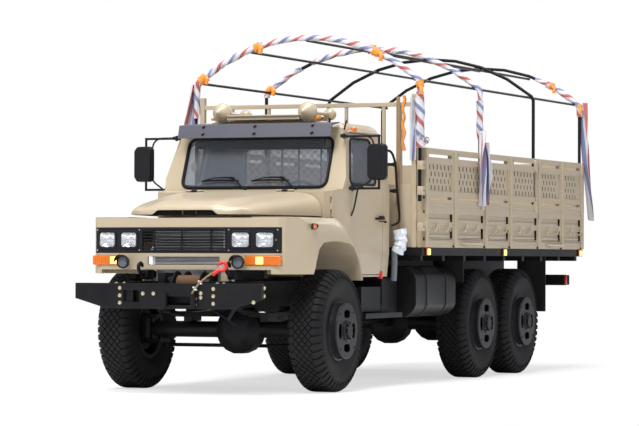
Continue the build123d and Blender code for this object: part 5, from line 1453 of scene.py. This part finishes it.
# %% [markdown]
# ## Air horns, roof hatch and drip rail
# The two long horns on the roof are trumpets with a pointed cover on their mouth and a round drum at the
# back. Each is one outline spun about its length, which keeps the flare a single smooth surface.

# %% Horns
HORN_X = 0.450
HORN_Z = 2.642
HORN = [  # radius, distance back from the mouth's plane
    (0, -0.020), (0.012, -0.012), (0.060, 0.062), (0.088, 0.085), (0.096, 0.110), (0.094, 0.128),
    (0.070, 0.150), (0.042, 0.175), (0.026, 0.230), (0.021, 0.40), (0.019, 0.600), (0.026, 0.618),
    (0.050, 0.628), (0.058, 0.645), (0.058, 0.690), (0.050, 0.705), (0.030, 0.712), (0, 0.714),
]
horns, horn_feet = [], []
for sign in (1, -1):
    x = sign * HORN_X
    horns.append(turned(HORN, at(x, 0.660, HORN_Z), (0, 1, 0), 40))
    for y in (0.880, 1.240):
        clip = ((-0.030, 2.60), (-0.030, HORN_Z + 0.024), (0.030, HORN_Z + 0.024), (0.030, 2.60))
        horns.append(block(at(x, y, 2.604), (0.022, 0.030, 0.066), 0.004))
        horns.append(block(at(x, y, 2.578), (0.075, 0.060, 0.010), 0.003))
        horns.append(bar([at(x + out, y, z) for out, z in clip], 0.004, 0.02))
    horn_feet.append(block(at(x + 0.09, 0.80, 2.590), (0.060, 0.050, 0.034), 0.008))
    horn_feet.append(block(at(x - 0.10, 0.80, 2.586), (0.050, 0.050, 0.026), 0.008))
finished("air_horns", {"sand_paint": horns, "orange_tie": horn_feet}, replaces=["horns"])

# %% [markdown]
# ## Roof parts
# A flat hatch with rounded corners closes the roof, and a thin rail above each door leads the rain away.
# Both are plain sheet parts, so a plate and a bent bar give them.

# %% Hatch, drip rails and small roof parts
FLAT = dict(right=(1, 0, 0), up=(0, 1, 0))
DRIP_RAIL = ((0.872, 0.735, 2.435), (0.874, 0.80, 2.452), (0.874, 1.50, 2.452), (0.868, 1.60, 2.440))
roof = [plate(rounded(0.800, 0.680, 0.05), 0.014, (), 0.005, at(0, 1.05, 2.617), **FLAT)]
for x in (-0.36, 0.36):
    for y in (0.78, 1.32):
        roof.append(drum(at(x, y, 2.60), at(x, y, 2.624), 0.012))
roof += [bar(places(*DRIP_RAIL, side=sign), 0.010, 0.04) for sign in (1, -1)]
roof_dark = [
    plate(rounded(0.75, 0.63, 0.04), 0.012, (), 0.002, at(0, 1.05, 2.606), **FLAT),
    drum(at(0.86, 0.70, 2.46), at(0.875, 0.72, 2.55), 0.008),
    drum(at(0.70, 0.72, 2.53), at(0.70, 0.72, 2.575), 0.010),
]
roof_lamps = [block(at(sign * 0.875, 0.90, 2.470), (0.050, 0.070, 0.040), 0.012) for sign in (1, -1)]
finished("roof_parts", {
    "sand_paint": roof, "seal_rubber": roof_dark, "amber_lens": roof_lamps,
})

# %% [markdown]
# ## Mirrors and the grab rail
# A mirror is a moulded shell on a black tube that two arms hold off the door. The shell is a rounded block
# whose back is crowned, with the glass let in on the rear side.

# %% Mirrors
MIRROR_SPOT = (1.225, 0.617, 2.150)
MIRROR_TUBES = [  # bend, places
    (0.05, ((1.02, 0.655, 1.898), (0.985, 0.640, 1.70), (0.965, 0.625, 1.64))),
    (0.06, ((0.905, 0.655, 2.402), (1.10, 0.700, 2.404), (1.165, 0.700, 2.35), (1.165, 0.690, 1.99),
            (1.03, 0.66, 1.905))),
]
for sign, side in ((1, "left"), (-1, "right")):
    head_x, head_y, head_z = MIRROR_SPOT
    pane = rounded(0.150, 0.300, 0.026)
    glass = plate(pane, 0.006, (), 0.001, at(sign * head_x, 0.684, head_z), (-1, 0, 0))
    shell = [plate(rounded(0.190, 0.345, 0.040), 0.066, (), 0.018, at(sign * head_x, head_y, head_z))]
    for z in (2.055, 2.245):
        shell.append(block(at(sign * 1.190, 0.648, z), (0.075, 0.046, 0.050), 0.008))
    for z, inner_x in ((2.398, 0.880), (1.901, 0.965)):
        foot = at(sign * inner_x, 0.650, z)
        shell.append(block(foot, (0.035, 0.120, 0.034), 0.006))
        shell.append(drum(foot - Vector((0, 0, 0.026)), foot + Vector((0, 0, 0.026)), 0.013))
    shell += [bar(places(*line, side=sign), 0.0085, bend) for bend, line in MIRROR_TUBES]
    finished(f"mirror_shell_{side}", {"black_plastic": shell, "bright_steel": [glass]},
             f"door_{side}")

# %% [markdown]
# ## Grab rail
# A bent rail stands behind the left door, with a bundle of clear wrapping tied to it and a grey pipe
# below. The bundle is wound like the cloth, with deep loose turns, since it is the same kind of crumpled
# film.

# %% Grab rail and hanging wrap behind the cab
GRAB_RAIL = (
    (0.905, 1.640, 2.300), (0.955, 1.690, 2.290), (0.990, 1.700, 2.180), (1.010, 1.700, 1.900),
    (1.035, 1.705, 1.650), (1.035, 1.690, 1.590), (0.975, 1.640, 1.560),
)
BUNDLE = ((1.030, 1.700, 1.520), (1.050, 1.710, 1.430), (1.045, 1.700, 1.360), (1.015, 1.690, 1.300))
rails = [bar(places(*GRAB_RAIL), 0.012, 0.05)]
for z in (2.160, 1.900):
    rails.append(block(at(0.955, 1.665, z), (0.075, 0.030, 0.030), 0.006))
    rails.append(drum(at(0.985, 1.690, z - 0.02), at(0.985, 1.690, z + 0.02), 0.019))
tube = bar(places((0.985, 1.690, 1.330), (0.985, 1.700, 1.200), (0.975, 1.700, 1.020)), 0.030, 0.04)
finished("grab_rail", {
    "seal_rubber": rails,
    "clear_wrap": [wound(softened(places(*BUNDLE), 0.06), 0.052, 14, 0.06, 0.020)],
    "grey_plastic": [tube],
    "red_paint": [block(at(0.93, 1.45, 1.080), (0.045, 0.050, 0.075), 0.010)],
})

# %% [markdown]
# ## Steering wheel and dashboard
# The rim is a fat ring on three flat spokes with a round boss. It turns with its own joint, so it rides on
# the steering wheel's body. Two blank sheets of paper lie behind the windscreen.

# %% Steering wheel
STEER = at(0.380, 0.872, 1.806)
STEER_LEAN = math.radians(50)
STEER_AXIS = Vector((0, math.sin(STEER_LEAN), math.cos(STEER_LEAN)))
RIM_REACH = 0.215
RIM_THICK = 0.015
RIM_SIDES = 12
STEER_BOSS = [(0, 0.020), (0.034, 0.017), (0.048, 0.004), (0.052, -0.020), (0.036, -0.060), (0, -0.062)]
column = Matrix.Translation(STEER) @ STEER_AXIS.to_track_quat("Z", "Y").to_matrix().to_4x4()
angles = [2 * math.pi * side / RIM_SIDES for side in range(RIM_SIDES)]
rim_outline = [(RIM_REACH + RIM_THICK * math.cos(angle), RIM_THICK * math.sin(angle)) for angle in angles]
steer = [turned(rim_outline, steps=56, closed=True), turned(STEER_BOSS, steps=32)]
for number in range(3):
    spoke = block((0.110, 0, -0.012), (0.200, 0.034, 0.010), 0.004)
    steer.append(moved(spoke, Matrix.Rotation(math.radians(120 * number + 90), 4, "Z")))
steer = [moved(part, column) for part in steer]
finished("steering_rim", {"black_plastic": steer}, "steering_wheel", ["steering_wheel"])

# %% [markdown]
# ## Papers
# Two blank sheets lie on the shelf behind the windscreen. Thin blocks with a slight turn are enough,
# because only their white edges show through the glass.

# %% Papers behind the windscreen
papers = [
    block(at(0.05, 0.585, 1.862), (0.42, 0.085, 0.005), 0.002, (math.radians(20), 0, math.radians(4))),
    block(at(0.00, 0.560, 1.870), (0.36, 0.030, 0.004), 0.001, (math.radians(30), 0, math.radians(-2))),
]
finished("dash_papers", {"paper": papers})

# %% [markdown]
# ## Seats
# Each seat is a cushion and a back with a sewn cover over foam. A block is remeshed evenly, blown up a
# little by a cloth simulation with air inside, and held to a small travel.

# %% Seat cushions
SEATS = [  # centre x, width
    (0.400, 0.500), (-0.330, 0.900),
]
TRAVEL = 0.014
AIR_FRAMES = 20
REMESH_SIZE = 0.013


def cushion(centre, size, tilt=0.0):
    """A padded block, swollen by air in a cloth simulation when there is time for it."""
    pad = block((0, 0, 0), [side - 0.02 for side in size], 0.028, segments=3)
    modified(pad, "REMESH", mode="VOXEL", voxel_size=REMESH_SIZE)
    start = [vertex.co.copy() for vertex in pad.data.vertices]
    air = alone(pad).modifiers.new("air", "CLOTH")
    air.settings.use_pressure = True
    air.settings.uniform_pressure_force = 4
    air.settings.effector_weights.gravity = 0
    air.point_cache.frame_start = 1
    air.point_cache.frame_end = AIR_FRAMES
    for number in range(1, AIR_FRAMES + 1):
        bpy.context.scene.frame_set(number)
    bpy.ops.object.modifier_apply(modifier="air")
    bpy.context.scene.frame_set(1)
    for vertex, before in zip(pad.data.vertices, start):
        move = vertex.co - before
        if move.length > TRAVEL:
            vertex.co = before + move.normalized() * TRAVEL
    modified(pad, "SUBSURF", levels=1, render_levels=1)
    return moved(pad, Matrix.Translation(centre) @ Matrix.Rotation(tilt, 4, "X"))


# %% [markdown]
# ## Seats in the cab
# The driver has a seat of their own and a bench stands beside it. Each has a cushion and a back, and a
# plain box carries it.

# %% Two seats and their boxes
pads, seat_boxes = [], []
for x, wide in SEATS:
    pads.append(cushion(at(x, 1.165, 1.462), (wide, 0.400, 0.125)))
    pads.append(cushion(at(x, 1.425, 1.755), (wide, 0.100, 0.420), math.radians(-6)))
for x, wide in SEATS:
    seat_boxes.append(block(at(x, 1.18, 1.340), (wide - 0.03, 0.40, 0.130), 0.01))
covers = finished(
    "seat_pads", {"seat_cover": pads}, replaces=["seats"], smooth=math.radians(60),
)
finished("seat_boxes", {"seat_cover": seat_boxes})

# %% [markdown]
# ## Side boards
# Each side of the bed is pressed sheet with deep ribs between its bays. The slots that slant in rows are
# shallow louvres, each punched and pushed in. One slot with a rounded rim is copied down every row; its
# black block is painted shade that stands for the dark inside the punched hole.
# The rope hooks are bent bars that stand under the middle pressing like a roof.

# %% Sizes of the boards, and one slot and hook
BAY_EDGES = (1.883, 2.733, 3.651, 4.435, 5.370, 6.179, 6.914)
BOARD_FACE = 1.235
BOARD_LOW = 1.349
BOARD_HIGH = 2.331
PRESSED_FACE = BOARD_FACE - 0.014
SLOT_ROWS = (2.146, 2.078, 2.010, 1.944)
SLOT_COUNTS = (6, 6, 5, 7, 5, 4)
SLOT_LEAN = Matrix.Rotation(math.radians(8), 4, "X")
SIDEWAYS = (0, 1, 0)  # the direction along the board, for plates that face out from it
SWAGES = ((1.776, 0.012), (1.580, 0.008), (1.408, 0.012), (1.440, 0.006))  # z, height
RIB_FRONT = [(-0.030, BOARD_HIGH), (-0.034, 1.62)]
RIB = [(-0.045, BOARD_LOW), (0.045, BOARD_LOW), (0.034, 1.62), (0.030, BOARD_HIGH), *RIB_FRONT]
LAST_RIB = [(-0.045, BOARD_LOW), (0.020, BOARD_LOW), (0.020, BOARD_HIGH), *RIB_FRONT]
RIB_WALL = 0.018
slot_shade = block((0, 0, 0), (0.008, 0.021, 0.048), 0.0025)
slot_rim = plate(rounded(0.028, 0.056, 0.011), 0.004, [rounded(0.020, 0.047, 0.008)], 0.001, right=SIDEWAYS)
hook_bar = bar([
    (0, -0.055, -0.045), (0.020, -0.045, -0.040), (0.030, 0.0, 0.030), (0.020, 0.045, -0.040),
    (0, 0.055, -0.045),
], 0.007, 0.012)

# %% [markdown]
# ## Bay by bay
# A loop walks along the six bays of the left side. In each it sets the rows of slots, the long swages,
# the rolls with their rope hooks and the rib at the bay's front edge. The right side is a mirror image
# that is made when all parts stand.

# %% Pressings of each bay
# The dark pieces on the boards are painted shade: black blocks and rounds that stand for the shade in slots,
# holes and gaps.
boards, board_shade_marks = [], []


def shaded_hole(y, z, inner, outer):
    """A small dark round in the board, between two distances from the truck's middle: painted shade in a
    hole.
    """
    return drum(at(inner, y, z), at(outer, y, z), 0.006, ease=0, sides=12)


for bay, (front, rear) in enumerate(zip(BAY_EDGES, BAY_EDGES[1:])):
    middle = (front + rear) / 2
    long = rear - front
    for row, z in enumerate(SLOT_ROWS):
        pitch = 0.106 if bay < 4 else 0.1
        start = front + 0.150 + (0.045 if row % 2 else 0.0)
        for number in range(SLOT_COUNTS[bay]):
            y = start + number * pitch
            if y <= rear - 0.105:
                for shape, out, group in ((slot_shade, -0.0010, board_shade_marks), (slot_rim, 0.0035, boards)):
                    spot = Matrix.Translation(at(PRESSED_FACE + out, y, z))
                    group.append(copied(shape, spot @ SLOT_LEAN))
    for z, high in SWAGES:
        boards.append(block(at(BOARD_FACE + 0.001, middle, z), (0.010, long - 0.11, high), 0.003))
    # Dark slits beside each rib are painted shade in the gap there.
    for z, high in ((1.645, 0.074), (1.490, 0.112)):
        board_shade_marks.append(block(at(BOARD_FACE - 0.012, rear - 0.088, z), (0.018, 0.020, high), 0.002))
        roll_size = (0.016, long - 0.24, 0.030)
        boards.append(block(at(BOARD_FACE - 0.010, middle - 0.02, z - 0.028), roll_size, 0.007))
    for y in (front + 0.29, front + 0.62):
        if y < rear - 0.09:
            boards.append(copied(hook_bar, Matrix.Translation(at(BOARD_FACE + 0.002, y, 1.558))))
    for y in (front + 0.09, rear - 0.09):
        board_shade_marks.append(shaded_hole(y, 2.290, BOARD_FACE - 0.004, BOARD_FACE + 0.0015))
    board_shade_marks.append(block(at(BOARD_FACE + 0.004, rear - 0.06, 1.362), (0.012, 0.035, 0.020), 0.003))
    rib_y = front + 0.040 if bay == 0 else front
    boards.append(plate(RIB, RIB_WALL, (), 0.006, at(BOARD_FACE + 0.014, rib_y, 0), SIDEWAYS))
last_rib_spot = at(BOARD_FACE + 0.014, BAY_EDGES[-1] - 0.028, 0)
boards.append(plate(LAST_RIB, RIB_WALL, (), 0.006, last_rib_spot, SIDEWAYS))
print("parts on the left board:", len(boards), "of sheet and", len(board_shade_marks), "dark")

# %% [markdown]
# ## Steps and sockets
# Bent bars under the boards serve as steps, and small boxes on the boards hold the hoops' legs. Each is
# one shape repeated at the hoops' own places, so a loop sets them.

# %% Steps, hoop sockets and the front leg's bracket
STEP_OUT = BOARD_FACE + 0.028
for front, rear in ((2.907, 3.477), (5.629, 6.153)):
    line = ((BOARD_FACE, front), (STEP_OUT, front + 0.02), (STEP_OUT, rear - 0.02), (BOARD_FACE, rear))
    tread_size = (0.022, rear - front - 0.10, 0.012)
    boards.append(bar([at(x, y, 1.392) for x, y in line], 0.011, 0.02))
    boards.append(block(at(BOARD_FACE + 0.016, (front + rear) / 2, 1.374), tread_size, 0.004))
for y in (3.535, 5.249, 6.880):
    for z in (2.255, 1.805):
        boards.append(block(at(BOARD_FACE + 0.003, y, z), (0.030, 0.088, 0.120), 0.006))
for z in (2.155, 1.905, 1.55):
    boards.append(block(at(1.222, 1.800, z), (0.058, 0.078, 0.085), 0.006))
    board_shade_marks += [shaded_hole(1.800 + aside, z, 1.24, 1.2525) for aside in (-0.018, 0.018)]
# Dark blocks down the front edge are painted shade in the gaps there.
for z in (1.842, 1.70, 1.55, 1.43):
    board_shade_marks.append(block(at(BOARD_FACE + 0.002, 1.842, z), (0.012, 0.018, 0.030), 0.003))
finished("board_pressings", {
    "sand_paint": with_mirror(boards), "seal_rubber": with_mirror(board_shade_marks),
})
for shape in (slot_shade, slot_rim, hook_bar):
    bpy.data.objects.remove(shape)

# %% [markdown]
# ## Small things on the headboard, and the rear lamps
# A tan strap hangs beside the left post with a ragged orange ribbon knotted to it, and small hooks stand on
# the low panel. The ribbon is wound like the canopy's strips, so that it shows the same loose turns.

# %% Headboard strap and hooks
HOOK = ((1.815, 1.420), (1.790, 1.425), (1.785, 1.455), (1.800, 1.470))
hooks = [bar([at(x, y, z) for y, z in HOOK], 0.008, 0.012) for x in (0.62, 0.72, 0.84)]
ribbon = [at(1.04 + 0.012 * math.sin(number * 1.7), 1.795, 2.84 - 0.045 * number) for number in range(13)]
finished("headboard_strap", {
    "sand_paint": hooks,
    "orange_tie": [wound(ribbon, 0.008, 8, 0.045, 0.009)],
    "tan_strap": [plate(rounded(0.040, 1.42, 0.006), 0.004, (), 0.001, at(0.985, 1.785, 2.12))],
})

# %% [markdown]
# ## Rear lamps
# A rear lamp is a black tray with a red lens and an amber lens side by side, each with fine level ribs.
# The photograph doesn't show them, so they are the plain kind that such trucks have.

# %% Rear lamps
LAMP_FLUTES = range(-3, 4)
lamp_parts = {"red_lens": [], "amber_lens": [], "black_plastic": []}
for sign in (1, -1):
    middle = at(sign * 1.08, 6.628, 1.005)
    lamp_parts["black_plastic"].append(block(middle + Vector((0, -0.012, 0)), (0.190, 0.030, 0.110), 0.006))
    for finish, aside in (("red_lens", sign * 0.045), ("amber_lens", -sign * 0.045)):
        lens = [block(middle + Vector((aside, 0.008, 0)), (0.085, 0.024, 0.092), 0.008)]
        for flute in LAMP_FLUTES:
            lens.append(block(middle + Vector((aside, 0.021, flute * 0.012)), (0.070, 0.005, 0.004), 0.001))
        lamp_parts[finish] += lens
    lamp_parts["red_lens"].append(block(at(sign * 1.158, 6.55, 1.003), (0.020, 0.060, 0.090), 0.005))
finished("tail_lamps", lamp_parts, replaces=["rear_lamps"])

# %% [markdown]
# ## Bonnet
# The bonnet is one deep pressing with a rolled front edge, soft shoulders and a low bulge that starts over
# the air slot. It is made as a grid of places from a few simple curves, one along its length and one
# across. Then it is given a wall. That keeps the highlights long and calm as on the real panel.

# %% The bonnet's curves
BONNET_FRONT = -0.990
BONNET_REAR = 0.183
BONNET_EDGE = 1.633
AIR_SLOT_HIGH = 0.040
NOSE_ROLL = 0.034  # share of the length over which the front edge rolls over
BONNET_WALL = 0.004
# Share of the length, and the width's half, the crown's height or the bulge's height there
HALF_WIDTHS = [(0.0, 0.590), (0.3, 0.690), (1.0, 0.848)]
CROWN = [(0.0, 1.690), (0.12, 1.722), (0.32, 1.762), (0.7, 1.822), (1.0, 1.864)]
BULGE = [(0.0, 0.016), (0.10, 0.038), (0.22, 0.040), (0.5, 0.022), (1.0, 0.0)]


def between(table, share):
    """A value read from a table, in a straight line between its rows."""
    for (low, first), (high, second) in zip(table, table[1:]):
        if share <= high:
            return first + (second - first) * (share - low) / (high - low)
    return table[-1][1]


def eased_step(value, low, high):
    """0 below low, 1 above high, and smooth between."""
    part = min(max((value - low) / (high - low), 0), 1)
    return part * part * (3 - 2 * part)


def bonnet_place(along, across):
    """A place on the bonnet's skin."""
    share = along**1.9
    half = between(HALF_WIDTHS, share) * (1 - 0.085 * (1 - min(share / 0.07, 1)) ** 2)
    x = across * half
    y = BONNET_FRONT + (BONNET_REAR - BONNET_FRONT) * share + 0.075 * abs(across) ** 5 * (1 - share) ** 6
    slot = 1 - eased_step(abs(x + 0.010), 0.268, 0.335)
    low = BONNET_EDGE + AIR_SLOT_HIGH * slot * (1 - eased_step(share, 0.0, 0.08))
    bulge_half = 0.33 + 0.22 * share
    on_bulge = 1 - eased_step(abs(x), bulge_half - 0.07, bulge_half + 0.10)
    high = between(CROWN, share) + between(BULGE, share) * on_bulge
    nose = math.sqrt(1 - (1 - min(share / NOSE_ROLL, 1)) ** 2)
    shoulder = max(1 - abs(across) ** 8, 0) ** 0.4
    return at(x, y, low + (high - low) * nose * shoulder)


print("bonnet crown at its rear edge:", round(bonnet_place(1, 0).z, 3))


# %% [markdown]
# ## Bonnet panel
# The grid is filled from the curves, closer where the front edge and the shoulders turn. Solidify gives
# it the wall of pressed steel, and a black plate behind the air slot, which is painted shade, hinges and
# two small catches are joined to it.

# %% Bonnet panel
ALONG = 46
ACROSS = 64
grid, grid_faces = [], []
for row in range(ALONG + 1):
    for column in range(ACROSS + 1):
        grid.append(bonnet_place(row / ALONG, math.sin((column / ACROSS - 0.5) * math.pi)))
        if row < ALONG and column < ACROSS:
            corner = row * (ACROSS + 1) + column
            grid_faces.append((corner, corner + 1, corner + ACROSS + 2, corner + ACROSS + 1))
skin = new_piece("bonnet_skin", grid, (), grid_faces)
modified(skin, "SOLIDIFY", thickness=BONNET_WALL, offset=-1)
# A black plate behind the front lip is painted shade: it stands for the shade inside the air slot.
slot_shade_and_hinges = [block(at(0, BONNET_FRONT + 0.075, 1.655), (0.78, 0.012, 0.058), 0.003)]
for x in (-0.470, 0.470):
    slot_shade_and_hinges.append(drum(at(x - 0.030, 0.1925, 1.876), at(x + 0.030, 0.1925, 1.876), 0.008, ease=0.001))
    slot_shade_and_hinges.append(block(at(x, 0.176, 1.864), (0.060, 0.020, 0.020), 0.003))
latches = [
    block(at(-0.055, BONNET_FRONT + 0.060, 1.652), (0.012, 0.016, 0.036), 0.003),
    block(at(0.080, BONNET_FRONT + 0.062, 1.650), (0.006, 0.016, 0.030), 0.002),
]
finished("bonnet_panel", {"sand_paint": [skin], "seal_rubber": slot_shade_and_hinges, "tan_strap": latches},
         "bonnet", ["bonnet"], math.radians(60))
